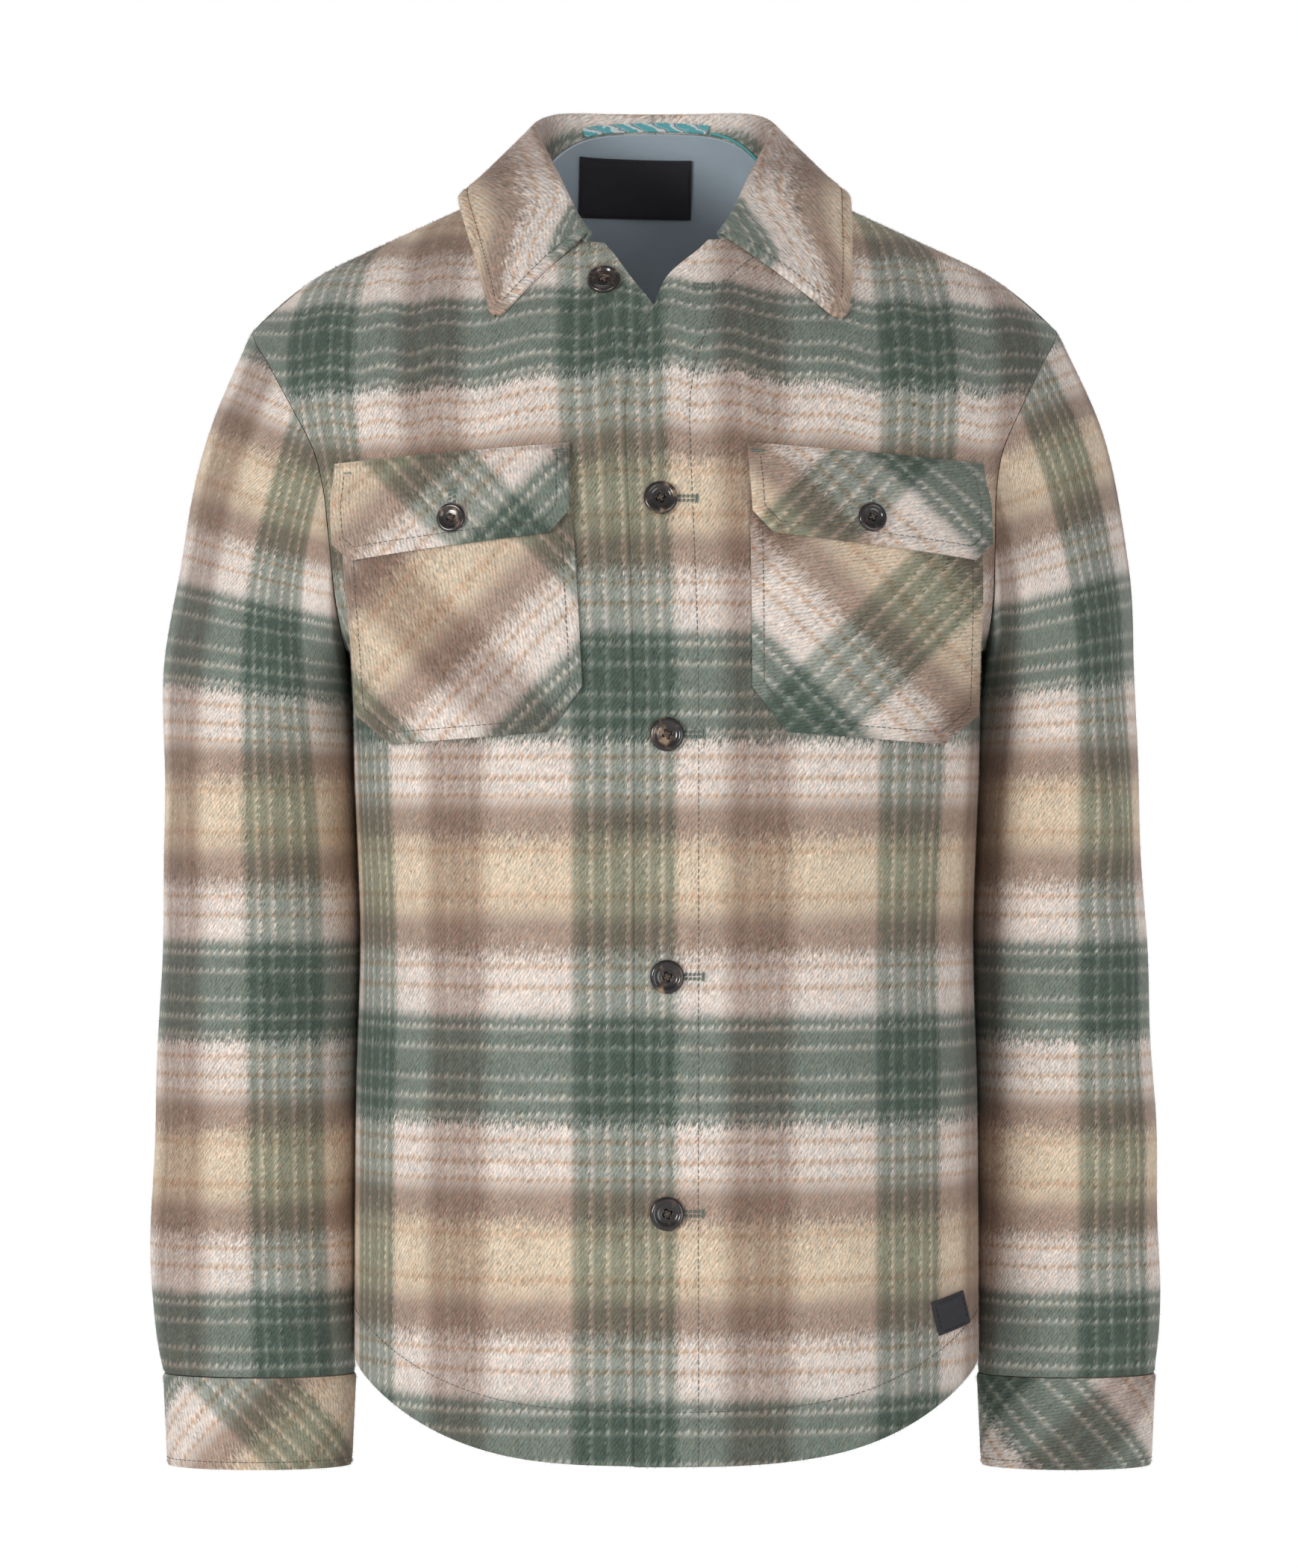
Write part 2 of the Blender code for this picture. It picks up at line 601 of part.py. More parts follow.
def lay_on(host, x, z):
    """Points of the host's surface straight behind places in the front view."""
    bpy.context.view_layer.update()
    points = np.zeros((*x.shape, 3))
    for index in np.ndindex(x.shape):
        start = Vector((x[index] + NUDGE, -1.0, z[index] + NUDGE))
        points[index] = host.ray_cast(start, Vector((0, 1, 0)))[1]
    return points


def build_patch(name, side, table, lift, puff, rows, host, look):
    """A pocket or flap laid on a front: `lift` over the panel at its top and lower rows."""
    x, z, down, across = patch_rows(side, table, rows, 12)
    point, normal = lay_on(host, x, z), front_frame(x, z)[1]
    low = lift[0] + (lift[1] - lift[0]) * ease(down / 0.45)
    low = (low + PATCH_SIDE_LIFT * across ** 3)[..., None]
    belly = (puff * np.sin(math.pi * down) * np.sin(math.pi * across))[..., None]
    inner = point + normal * low
    outer = point + normal * (low + belly + POCKET_WALL)
    return wall(name, outer, inner, look)


def turned_button(name, place, normal, radius, look):
    """A dished disc with a raised rim, turned about its axis and laid on the cloth."""
    height = BUTTON_HEIGHT * radius / BUTTON_RADIUS
    #          share of the radius, share of the height, from the face's middle to the back's
    profile = [(0.0, 0.62), (0.62, 0.62), (0.74, 1.0), (0.90, 1.0), (1.0, 0.62), (0.86, 0.10), (0.0, 0.0)]
    mesh = bpy.data.meshes.new(name)
    work = bmesh.new()
    line = [work.verts.new((radius * r, 0, height * h)) for r, h in profile]
    edges = [work.edges.new(pair) for pair in zip(line, line[1:])]
    bmesh.ops.spin(work, geom=line + edges, cent=(0, 0, 0), axis=(0, 0, 1), angle=2 * math.pi,
                   steps=18, use_duplicate=False)
    bmesh.ops.remove_doubles(work, verts=work.verts, dist=0.00005)
    bmesh.ops.recalc_face_normals(work, faces=work.faces)
    work.to_mesh(mesh)
    work.free()
    mesh.materials.append(look)
    mesh.shade_smooth()
    mesh.set_sharp_from_angle(angle=math.radians(40))
    made = bpy.data.objects.new(name, mesh)
    turn = Vector(normal).to_track_quat("Z", "Y").to_matrix().to_4x4()
    made.matrix_world = Matrix.Translation(Vector(place)) @ turn
    parts.objects.link(made)
    return made


def button_on_front(name, x, z, lift, radius, look):
    point, normal = front_frame(np.array(x + centre_x(z)), np.array(float(z)))
    return turned_button(name, point + normal * (lift + BUTTON_SEAT), normal, radius, look)


def button_on_cuff(name, cuff, x, z, look):
    """A button on the rear of a cuff, square to it."""
    bpy.context.view_layer.update()
    place, normal = cuff.ray_cast(Vector((x, 1.0, z)), Vector((0, -1, 0)))[1:3]
    return turned_button(name, place + normal * BUTTON_SEAT, normal, FLAP_BUTTON_RADIUS, look)


def build_label(name, label, host, look):
    """A small woven rectangle on a panel, turned a little in the front view."""
    across = np.linspace(-0.5, 0.5, 7)[None, :] * label["width"]
    down = np.linspace(0.5, -0.5, 4)[:, None] * label["height"]
    turn = math.radians(label["turn"])
    x = label["x"] + across * math.cos(turn) - down * math.sin(turn) + centre_x(label["z"])
    z = label["z"] + across * math.sin(turn) + down * math.cos(turn)
    near = lay_on(host, x, z)
    normal = grid_normals(near, -1.0).mean(axis=(0, 1))
    normal /= np.linalg.norm(normal)
    near = near + normal * 2 * SEAM_GAP
    return wall(name, near, near + normal * LABEL_WALL, look)


def build_tape(look):
    """A narrow tape over the seam inside the back neck, on the collar's stand."""
    face = collar_grid(65)[0]
    normal = grid_normals(face)
    middle = HANGER_TAPE["x"]
    keep = (np.abs(face[0, :, 0] - middle) < HANGER_TAPE["width"] / 2) & (face[0, :, 1] > 0)
    low, high = face[0, keep], face[2, keep]
    out = normal[1, keep]
    reach = HANGER_TAPE["height"] / np.linalg.norm(high - low, axis=-1, keepdims=True)
    rows = [low + (high - low) * reach * share + out * SEAM_GAP * 2 for share in (0.08, 0.54, 1.0)]
    grid = np.array(rows)
    return wall("hanger_tape", grid, grid + out * LABEL_WALL, look)


for old in list(bpy.data.objects):
    bpy.data.objects.remove(old, do_unlink=True)
parts = bpy.data.collections.new("shacket")
bpy.context.scene.collection.children.link(parts)

plaid = material("brushed wool check", (0.42, 0.38, 0.31), 0.95)
bias = material("brushed wool check on the bias", (0.40, 0.36, 0.30), 0.95)
lining = material("grey blue lining", (0.14, 0.19, 0.22), 0.75)
woven_black = material("black woven label", (0.012, 0.012, 0.014), 0.8)
tape = material("patterned tape", (0.25, 0.50, 0.52), 0.7)
horn = material("dark horn", (0.045, 0.03, 0.025), 0.25)

for name, side in (("left", 1), ("right", -1)):
    front = body_panel("front_" + name, side, plaid)
    build_sleeve("sleeve_" + name, side, plaid)
    cuff = build_cuff("cuff_" + name, side, bias)
    build_patch("pocket_" + name, side, POCKET, POCKET_LIFT, POCKET_PUFF, 9, front, bias)
    build_patch("flap_" + name, side, FLAP, FLAP_LIFT, 0.0, 5, front, bias)
    button_on_front("flap_button_" + name, side * FLAP_BUTTON[0], FLAP_BUTTON[1],
                    FLAP_LIFT[1] + POCKET_WALL, FLAP_BUTTON_RADIUS, horn)
    button_on_cuff("cuff_button_" + name, cuff, side * CUFF_BUTTON[0], CUFF_BUTTON[1], horn)
build_back(plaid)
build_collar(plaid)
back_lining = build_lining(lining)
build_tape(tape)
build_label("neck_label", NECK_LABEL, back_lining, woven_black)
build_label("hem_label", HEM_LABEL, bpy.data.objects["front_left"], woven_black)
button_on_front("button_1", *OPEN_BUTTON, -BAND_STEP, BUTTON_RADIUS, horn)
for index, row in enumerate(BUTTON_ROWS):
    button_on_front("button_%d" % (index + 2), 0.0, row, BAND_STEP, BUTTON_RADIUS, horn)
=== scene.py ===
import math

import bpy
import numpy as np
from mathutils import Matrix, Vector


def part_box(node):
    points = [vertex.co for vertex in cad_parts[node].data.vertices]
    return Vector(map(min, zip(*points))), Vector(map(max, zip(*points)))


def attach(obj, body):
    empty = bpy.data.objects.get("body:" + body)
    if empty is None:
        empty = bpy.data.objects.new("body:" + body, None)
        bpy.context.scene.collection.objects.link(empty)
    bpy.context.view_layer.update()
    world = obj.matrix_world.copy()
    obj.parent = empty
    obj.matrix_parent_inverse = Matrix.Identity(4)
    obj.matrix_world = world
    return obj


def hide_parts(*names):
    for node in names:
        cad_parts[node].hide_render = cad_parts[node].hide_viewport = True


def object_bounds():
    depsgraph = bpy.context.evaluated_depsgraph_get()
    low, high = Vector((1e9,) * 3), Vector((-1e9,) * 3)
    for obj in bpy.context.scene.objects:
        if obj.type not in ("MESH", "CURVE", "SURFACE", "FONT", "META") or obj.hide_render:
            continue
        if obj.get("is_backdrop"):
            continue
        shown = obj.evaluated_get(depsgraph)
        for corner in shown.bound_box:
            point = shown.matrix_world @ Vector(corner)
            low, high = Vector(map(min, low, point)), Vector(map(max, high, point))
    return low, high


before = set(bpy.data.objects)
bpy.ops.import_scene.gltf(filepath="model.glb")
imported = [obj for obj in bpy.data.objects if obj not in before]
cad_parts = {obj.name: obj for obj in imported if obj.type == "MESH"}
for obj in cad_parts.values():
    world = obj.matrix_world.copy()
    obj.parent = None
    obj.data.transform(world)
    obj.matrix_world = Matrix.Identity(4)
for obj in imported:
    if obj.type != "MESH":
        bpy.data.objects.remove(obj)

cadLow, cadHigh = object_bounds()

camera = {"x": -0.0046, "distance": 3.5, "z": -0.349, "viewHeight": 0.9223, "sensor": 36.0}

cloth = {
    "wall": 0.0022, "patchWall": 0.0018, "collarWall": 0.0028, "cuffWall": 0.0030,
    "liningWall": 0.0012, "labelWall": 0.0009, "seamGap": 0.0003,
    "warpRepeat": 0.165, "weftRepeat": 0.217,
}
cloth["bandStep"] = (cloth["wall"] + 2 * cloth["seamGap"]) / 2
handed = {"left": 1, "right": -1}   # the wearer's sides along x

body = {
    "armpitZ": -0.272, "shoulderTopZ": 0.0467, "shoulderSlope": 0.475, "shoulderRound": 5.5,
    "roundFrom": 0.185, "napeRise": 0.040, "napeDrop": 0.0275, "ridgeY": 0.010,
    "frontDepth": 0.147, "backDepth": 0.133, "columnPower": 2.4,
    "shoulderX": 0.2365, "neckX": 0.072, "hemZ": -0.734, "hemRise": 0.051, "hemPower": 3.7,
    "waistDepth": 0.012, "waistZ": -0.46, "waistReach": 0.12,
    # z, half width
    "side": [(0.100, 0.2365), (-0.081, 0.2365), (-0.107, 0.2238), (-0.130, 0.2116),
             (-0.157, 0.1985), (-0.180, 0.1935), (-0.205, 0.1915), (-0.240, 0.1890),
             (-0.272, 0.1860), (-0.350, 0.1835), (-0.440, 0.1805), (-0.530, 0.1830),
             (-0.760, 0.1840)],
    # z, power of the superellipse of a level cut
    "sectionPower": [(-0.205, 2.40), (-0.272, 3.05), (-0.360, 2.75), (-0.500, 2.50), (-0.760, 2.50)],
    # z, share of the section that the armhole leaves
    "armholeCut": [(-0.272, 1.000), (-0.262, 0.970), (-0.245, 0.925), (-0.215, 0.880),
                   (-0.180, 0.870), (-0.081, 0.870)],
    # z, left front edge, right front edge, positive towards the other front
    "frontEdge": [(-0.030, -0.0350, -0.0350), (-0.038, -0.0290, -0.0275), (-0.058, -0.0075, -0.0130),
                  (-0.076, 0.0005, 0.0005), (-0.095, 0.0085, 0.0085), (-0.120, 0.0155, 0.0140),
                  (-0.150, 0.0180, 0.0165), (-0.760, 0.0185, 0.0165)],
    # x, z of the front neck seam
    "frontNeck": [(0.0350, -0.0360), (0.0430, -0.0345), (0.0530, -0.0290), (0.0630, -0.0195),
                  (0.0695, -0.0070), (0.072, 0.0087)],
    # x1, z1, x2, z2, half width, height of the folds that the solids have too
    "folds": [(0.2120, -0.072, 0.2000, -0.150, 0.012, 0.0045),
              (0.1930, -0.062, 0.1800, -0.165, 0.012, -0.0035),
              (-0.2120, -0.075, -0.1960, -0.150, 0.012, 0.0045),
              (-0.1930, -0.062, -0.1780, -0.170, 0.012, -0.0035),
              (0.1500, -0.050, 0.1420, -0.125, 0.014, 0.0020),
              (-0.1560, -0.050, -0.1500, -0.120, 0.014, 0.0020),
              (0.1690, -0.370, 0.1500, -0.480, 0.020, -0.0030),
              (-0.1700, -0.380, -0.1560, -0.520, 0.022, -0.0030)],
    # the softer ones that only show in the light
    "frontCreases": [(0.118, -0.045, 0.112, -0.135, 0.009, 0.0012),
                     (-0.120, -0.045, -0.116, -0.135, 0.009, 0.0012),
                     (0.172, -0.060, 0.166, -0.140, 0.008, 0.0014),
                     (-0.176, -0.060, -0.168, -0.140, 0.008, 0.0014),
                     (0.010, -0.500, 0.060, -0.660, 0.022, 0.0016),
                     (-0.060, -0.400, -0.030, -0.600, 0.024, 0.0015),
                     (0.100, -0.360, 0.110, -0.560, 0.018, 0.0014),
                     (-0.120, -0.560, -0.090, -0.690, 0.018, 0.0014),
                     (0.120, -0.600, 0.145, -0.690, 0.016, -0.0016),
                     (-0.020, -0.230, -0.040, -0.330, 0.014, -0.0012)],
    "backCreases": [(0.150, -0.060, 0.110, -0.200, 0.016, 0.0030),
                    (-0.150, -0.060, -0.110, -0.200, 0.016, 0.0030),
                    (0.060, -0.420, 0.090, -0.640, 0.020, 0.0030),
                    (-0.070, -0.400, -0.100, -0.620, 0.020, 0.0028),
                    (0.000, -0.380, 0.010, -0.560, 0.018, -0.0022),
                    (0.130, -0.300, 0.100, -0.420, 0.014, -0.0020),
                    (-0.130, -0.310, -0.095, -0.430, 0.014, -0.0020)],
}


# ---- shape of the body: every function takes whole arrays

def columnOf(table, index):
    return np.array([row[index] for row in table], dtype=float)


# a table column read at `value` by monotone cubic pieces between its rows
def readTable(value, table, index):
    place, height = columnOf(table, 0), columnOf(table, index)
    if place[0] > place[-1]:
        place, height = place[::-1], height[::-1]
    slope = np.gradient(height, place)
    step = np.diff(height) / np.diff(place)
    limit = 3 * np.minimum(np.abs(np.append(step, step[-1])), np.abs(np.insert(step, 0, step[0])))
    slope = np.clip(slope, -limit, limit)
    value = np.clip(value, place[0], place[-1])
    spot = np.clip(np.searchsorted(place, value) - 1, 0, len(place) - 2)
    width = place[spot + 1] - place[spot]
    t = (value - place[spot]) / width
    return ((1 + 2 * t) * (1 - t) ** 2 * height[spot] + t * (1 - t) ** 2 * width * slope[spot]
            + t * t * (3 - 2 * t) * height[spot + 1] + t * t * (t - 1) * width * slope[spot + 1])


# the same with the rows as even steps from 0 to 1
def readKnots(value, table, index):
    return readTable(value, list(zip(np.linspace(0, 1, len(table)), columnOf(table, index))), 1)


# arrays as the components of points, or the corners of faces
def joined(*parts):
    return np.stack(np.broadcast_arrays(*parts), axis=-1)


def unit(vector):
    return vector / np.linalg.norm(vector, axis=-1, keepdims=True)


# distance walked at each point of a path, or of each column's path in a grid
def lengthAlong(path):
    step = np.linalg.norm(np.diff(path, axis=0), axis=-1)
    return np.concatenate([np.zeros_like(step[:1]), np.cumsum(step, axis=0)])


def ease(value):
    value = np.clip(value, 0.0, 1.0)
    return value * value * (3 - 2 * value)


def centreLine(z):
    return -0.0015 + 0.0072 * ease((-0.06 - z) / 0.26)


# a straight slope that rounds off at the neck and at the sleeve, with the nape's rise behind
def shoulderRidge(x, back):
    away = np.abs(x)
    height = body["shoulderTopZ"] - body["shoulderSlope"] * np.sqrt(away ** 2 + (body["neckX"] / 2) ** 2)
    height = height - body["shoulderRound"] * np.clip(away - body["roundFrom"], 0, None) ** 2
    nape = body["napeRise"] * (1 - np.clip(away / body["neckX"], 0, 1) ** 4)
    return height + (nape if back else 0.0)


# sum of rounded ridges and troughs along lines: height * exp(-(across/width)^2 - (2*along-1)^4)
def foldHeight(x, z, table):
    total = np.zeros(np.broadcast(x, z).shape)
    for x1, z1, x2, z2, width, height in table:
        length = math.hypot(x2 - x1, z2 - z1)
        along = ((x - x1) * (x2 - x1) + (z - z1) * (z2 - z1)) / length ** 2
        across = ((x - x1) * (z2 - z1) - (z - z1) * (x2 - x1)) / length
        total += height * np.exp(-(across / width) ** 2 - (2.0 * along - 1.0) ** 4)
    return total


# slow uneven ripple: three sine waves that run at different angles
def ripple(x, z, size):
    return size * (np.sin(x * 61 + z * 17 + 0.4) * 0.5 + np.sin(x * 34 - z * 29 + 2.1) * 0.6
                   + np.sin(x * 96 + z * 7 + 1.3) * 0.25)


# depth of the body: a superellipse (1 - share^p)^(1/p) at each level, drawn in to the shoulder line
def bodyDepth(x, z, back, detail=True):
    across = x - centreLine(z)
    side = readTable(z, body["side"], 1)
    full = side / readTable(np.clip(z, body["armpitZ"], -0.081), body["armholeCut"], 1)
    share = np.clip(np.abs(across) / full, 0, 1)
    power = readTable(z, body["sectionPower"], 1)
    bulge = (1 - share ** power) ** (1 / power)
    ridge = shoulderRidge(across, back)
    rise = np.clip((z - body["armpitZ"]) / (ridge - body["armpitZ"]), 0, 1)
    pull = (1 - rise ** 3) ** 0.5 if back else (1 - rise ** 2) ** 0.625
    y = body["ridgeY"] * (1 - pull) + (body["backDepth"] if back else -body["frontDepth"]) * bulge * pull
    if back:
        y = y - body["waistDepth"] * np.exp(-((z - body["waistZ"]) / body["waistReach"]) ** 2) * bulge
        if detail:
            y = y + (foldHeight(x, z, body["backCreases"]) + ripple(x, z, 0.0011)) * bulge * pull
    else:
        y = y - foldHeight(x, z, body["folds"]) * bulge * pull
        if detail:
            y = y - (1.6 * foldHeight(x, z, body["frontCreases"]) + ripple(x, z, 0.0011)) * bulge * pull
    return y


def bodyPoint(x, z, back=False):
    return joined(x, bodyDepth(x, z, back), z)


# surface point and outward normal at places in the front view
def bodyFrame(x, z, back=False):
    step = 0.0005
    along = bodyPoint(x + step, z, back) - bodyPoint(x - step, z, back)
    rise = bodyPoint(x, z + step, back) - bodyPoint(x, z - step, back)
    return bodyPoint(x, z, back), unit(np.cross(along, rise) * (-1 if back else 1))


def gridNormals(grid, flip=1.0):
    normal = np.cross(np.gradient(grid, axis=1), np.gradient(grid, axis=0)) * flip
    return normal / np.maximum(np.linalg.norm(normal, axis=-1, keepdims=True), 1e-12)


def topEdge(side, back, across):
    neckPlace = np.clip(across * 3, 0, 1)
    if back:
        neckX = neckPlace * body["neckX"]
        neckZ = shoulderRidge(neckX, True) - body["napeDrop"] * (1 - neckPlace ** 2)
    else:
        neckX, neckZ = (readKnots(neckPlace, body["frontNeck"], i) for i in (0, 1))
    along = body["neckX"] + (body["shoulderX"] - body["neckX"]) * np.clip((across - 1 / 3) * 1.5, 0, 1)
    onNeck = across < 1 / 3
    z = np.where(onNeck, neckZ, shoulderRidge(along, back))
    return side * np.where(onNeck, neckX, along) + centreLine(z), z


# front-view x and z of a half panel: columns from the centre to the side, rows from the top edge
# to the armpit level by `upper` and from there to the curved hem by `lower`
def panelGrid(side, back, across, upper, lower):
    topX, topZ = topEdge(side, back, across)
    low = np.sin(across * math.pi / 2) ** (2 / body["columnPower"])
    which = 1 if side > 0 else 2

    def innerEdge(z):
        return centreLine(z) - (0.0 if back else side * readTable(z, body["frontEdge"], which))

    def outerEdge(z):
        return centreLine(z) + side * readTable(z, body["side"], 1)

    start = (topX - innerEdge(topZ)) / (outerEdge(topZ) - innerEdge(topZ))
    start[0], start[-1] = 0.0, 1.0
    upper, lower = upper[:, None], lower[:, None]
    hem = body["hemZ"] + body["hemRise"] * low ** body["hemPower"]
    z = np.concatenate([topZ[None, :] * (1 - upper) + body["armpitZ"] * upper,
                        body["armpitZ"] * (1 - lower) + hem[None, :] * lower])
    settled = np.concatenate([ease(upper / 0.9), np.ones_like(lower)])
    place = start[None, :] + (low - start)[None, :] * settled
    x = innerEdge(z) + (outerEdge(z) - innerEdge(z)) * place
    return x, z, z - hem[None, :], np.abs(x - innerEdge(z))


# length round the cloth at one level, from the centre line out to each point
def arcAcross(x, z, back, steps=25):
    middle = centreLine(z)
    runX = middle[..., None] + (x - middle)[..., None] * np.linspace(0, 1, steps)
    runY = bodyDepth(runX, np.repeat(z[..., None], steps, axis=-1), back, False)
    return np.hypot(np.diff(runX, axis=-1), np.diff(runY, axis=-1)).sum(axis=-1)


# length down the cloth at each height, along a line a hand's width from the centre
def arcDown(z, back):
    level = np.linspace(-0.80, -0.012, 400)
    length = lengthAlong(joined(bodyDepth(np.full(400, 0.10), level, back, False), level))
    start = np.interp(check["bodyPhaseZ"], level, length)
    beyond = np.clip(z - level[-1], 0, None) * 1.5
    return -(np.interp(z, level, length) + beyond - start)


# a stitched valley at `place` from an edge, with the cloth a little fuller on both sides
def groove(distance, place, depth=0.0007, width=0.0013):
    away = (distance - place) / width
    return depth * (0.45 * np.exp(-(away / 3) ** 2) - np.exp(-away ** 2))


# how far a worn edge falls off: depth at the edge, none at `reach` from it
def worn(distance, depth, reach):
    return depth * (1 - ease(distance / reach))


# ---- meshes

# a closed wall between two grids, with a rim along each open edge and its UV map in metres
def clothWall(name, outer, inner, uv, look, closed=False):
    rows, columns = uv.shape[:2]
    row, column = np.meshgrid(np.arange(rows), np.arange(columns), indexing="ij")
    wrap = columns - 1 if closed else columns
    index = row * wrap + column % wrap
    spot = row * columns + column
    points = np.concatenate([outer[:, :wrap].reshape(-1, 3), inner[:, :wrap].reshape(-1, 3)])
    count = rows * wrap

    def cells(grid):
        return joined(grid[:-1, :-1], grid[:-1, 1:], grid[1:, 1:], grid[1:, :-1]).reshape(-1, 4)

    def strip(grid, shift):
        runs = [(grid[0, 1:], grid[0, :-1]), (grid[-1, :-1], grid[-1, 1:])]
        if not closed:
            runs += [(grid[:-1, 0], grid[1:, 0]), (grid[1:, -1], grid[:-1, -1])]
        return np.concatenate([joined(a, b, b + shift, a + shift) for a, b in runs])

    faces = np.concatenate([cells(index), cells(index)[:, ::-1] + count, strip(index, count)])
    spots = np.concatenate([cells(spot), cells(spot)[:, ::-1], strip(spot, 0)])
    a, b, c, d = (points[faces[:, i]] for i in range(4))
    volume = (np.einsum("ij,ij->i", a, np.cross(b, c)) + np.einsum("ij,ij->i", a, np.cross(c, d))).sum()
    if volume < 0:
        faces, spots = faces[:, ::-1], spots[:, ::-1]
    return meshPiece(name, points, faces, uv.reshape(-1, 2)[spots.reshape(-1)], look)


def meshPiece(name, points, faces, uv, look, sharp=50):
    mesh = bpy.data.meshes.new(name)
    sides = faces.shape[1]
    mesh.vertices.add(len(points))
    mesh.vertices.foreach_set("co", np.ascontiguousarray(points, dtype=np.float32).reshape(-1))
    mesh.loops.add(faces.size)
    mesh.loops.foreach_set("vertex_index", np.ascontiguousarray(faces, dtype=np.int32).reshape(-1))
    mesh.polygons.add(len(faces))
    mesh.polygons.foreach_set("loop_start", np.arange(0, faces.size, sides, dtype=np.int32))
    mesh.update(calc_edges=True)
    if uv is not None:
        layer = mesh.uv_layers.new(name="cloth")
        layer.data.foreach_set("uv", np.ascontiguousarray(uv, dtype=np.float32).reshape(-1))
    mesh.validate()
    mesh.materials.append(look)
    mesh.shade_smooth()
    if sharp:
        mesh.set_sharp_from_angle(angle=math.radians(sharp))
    piece = bpy.data.objects.new(name, mesh)
    bpy.context.scene.collection.objects.link(piece)
    return piece


# quads between rings of points that lie one after another
def ringFaces(rings, sides):
    ring, corner = np.meshgrid(np.arange(rings - 1), np.arange(sides), indexing="ij")
    a, b = ring * sides + corner, ring * sides + (corner + 1) % sides
    return joined(a, b, b + sides, a + sides).reshape(-1, 4)


def cellAreas(grid):
    return np.linalg.norm(np.cross(np.diff(grid, axis=1)[:-1], np.diff(grid, axis=0)[:, :-1]), axis=-1)


def placed(piece, slot=None, *nodes):
    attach(piece, "root")
    if nodes:
        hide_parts(*nodes)
    return piece


# ---- materials

class Nodes:
    # short words for building a node tree
    def __init__(self, tree):
        self.tree = tree

    def add(self, kind, **settings):
        node = self.tree.nodes.new("ShaderNode" + kind)
        for key, value in settings.items():
            setattr(node, key, value)
        return node

    # links or sets a node's sockets, by name or place
    def give(self, node, values):
        for key, value in values.items() if isinstance(values, dict) else enumerate(values):
            if isinstance(value, bpy.types.NodeSocket):
                self.tree.links.new(value, node.inputs[key])
            else:
                node.inputs[key].default_value = value
        return node.outputs

    def math(self, operation, *values):
        return self.give(self.add("Math", operation=operation), values)[0]

    def plus(self, first, *others):
        for other in others:
            first = self.math("ADD", first, other)
        return first

    def times(self, a, b):
        return self.math("MULTIPLY", a, b)

    def scaled(self, value, factor, start):
        return self.math("MULTIPLY_ADD", value, factor, start)

    def vector(self, x, y, z=0.0):
        return self.give(self.add("CombineXYZ"), (x, y, z))[0]

    def split(self, vector):
        return self.give(self.add("SeparateXYZ"), (vector,))

    def noise(self, vector, scale, detail=2.0, roughness=0.5):
        return self.give(self.add("TexNoise"), {"Vector": vector, "Scale": scale, "Detail": detail,
                                                "Roughness": roughness})["Fac"]

    def mix(self, share, a, b, blend="MIX"):
        return self.give(self.add("Mix", data_type="RGBA", blend_type=blend), {0: share, 6: a, 7: b})[2]

    def ramp(self, value, stops):
        node = self.add("ValToRGB")
        elements = node.color_ramp.elements
        elements.remove(elements[0])
        elements[0].position, elements[0].color = stops[0]
        for position, colour in stops[1:]:
            elements.new(position).color = colour
        return self.give(node, (value,))

    def spread(self, value, low, high, newLow, newHigh):
        return self.give(self.add("MapRange"), (value, low, high, newLow, newHigh))[0]

    # darkens or lightens a colour by a plain value
    def shade(self, colour, value):
        return self.mix(1.0, colour, self.give(self.add("CombineColor"), (value,) * 3)[0], "MULTIPLY")

    def bump(self, height, distance, strength=1.0):
        return self.give(self.add("Bump"), {"Height": height, "Distance": distance, "Strength": strength})[0]


# a shader node group with its sockets, and the nodes inside that hold them
def makeGroup(name, inputs, outputs):
    group = bpy.data.node_groups.new(name, "ShaderNodeTree")
    for way, sockets in (("INPUT", inputs), ("OUTPUT", outputs)):
        for label, kind in sockets.items():
            group.interface.new_socket(name=label, in_out=way, socket_type="NodeSocket" + kind)
    return group, Nodes(group), group.nodes.new("NodeGroupInput").outputs, group.nodes.new("NodeGroupOutput")


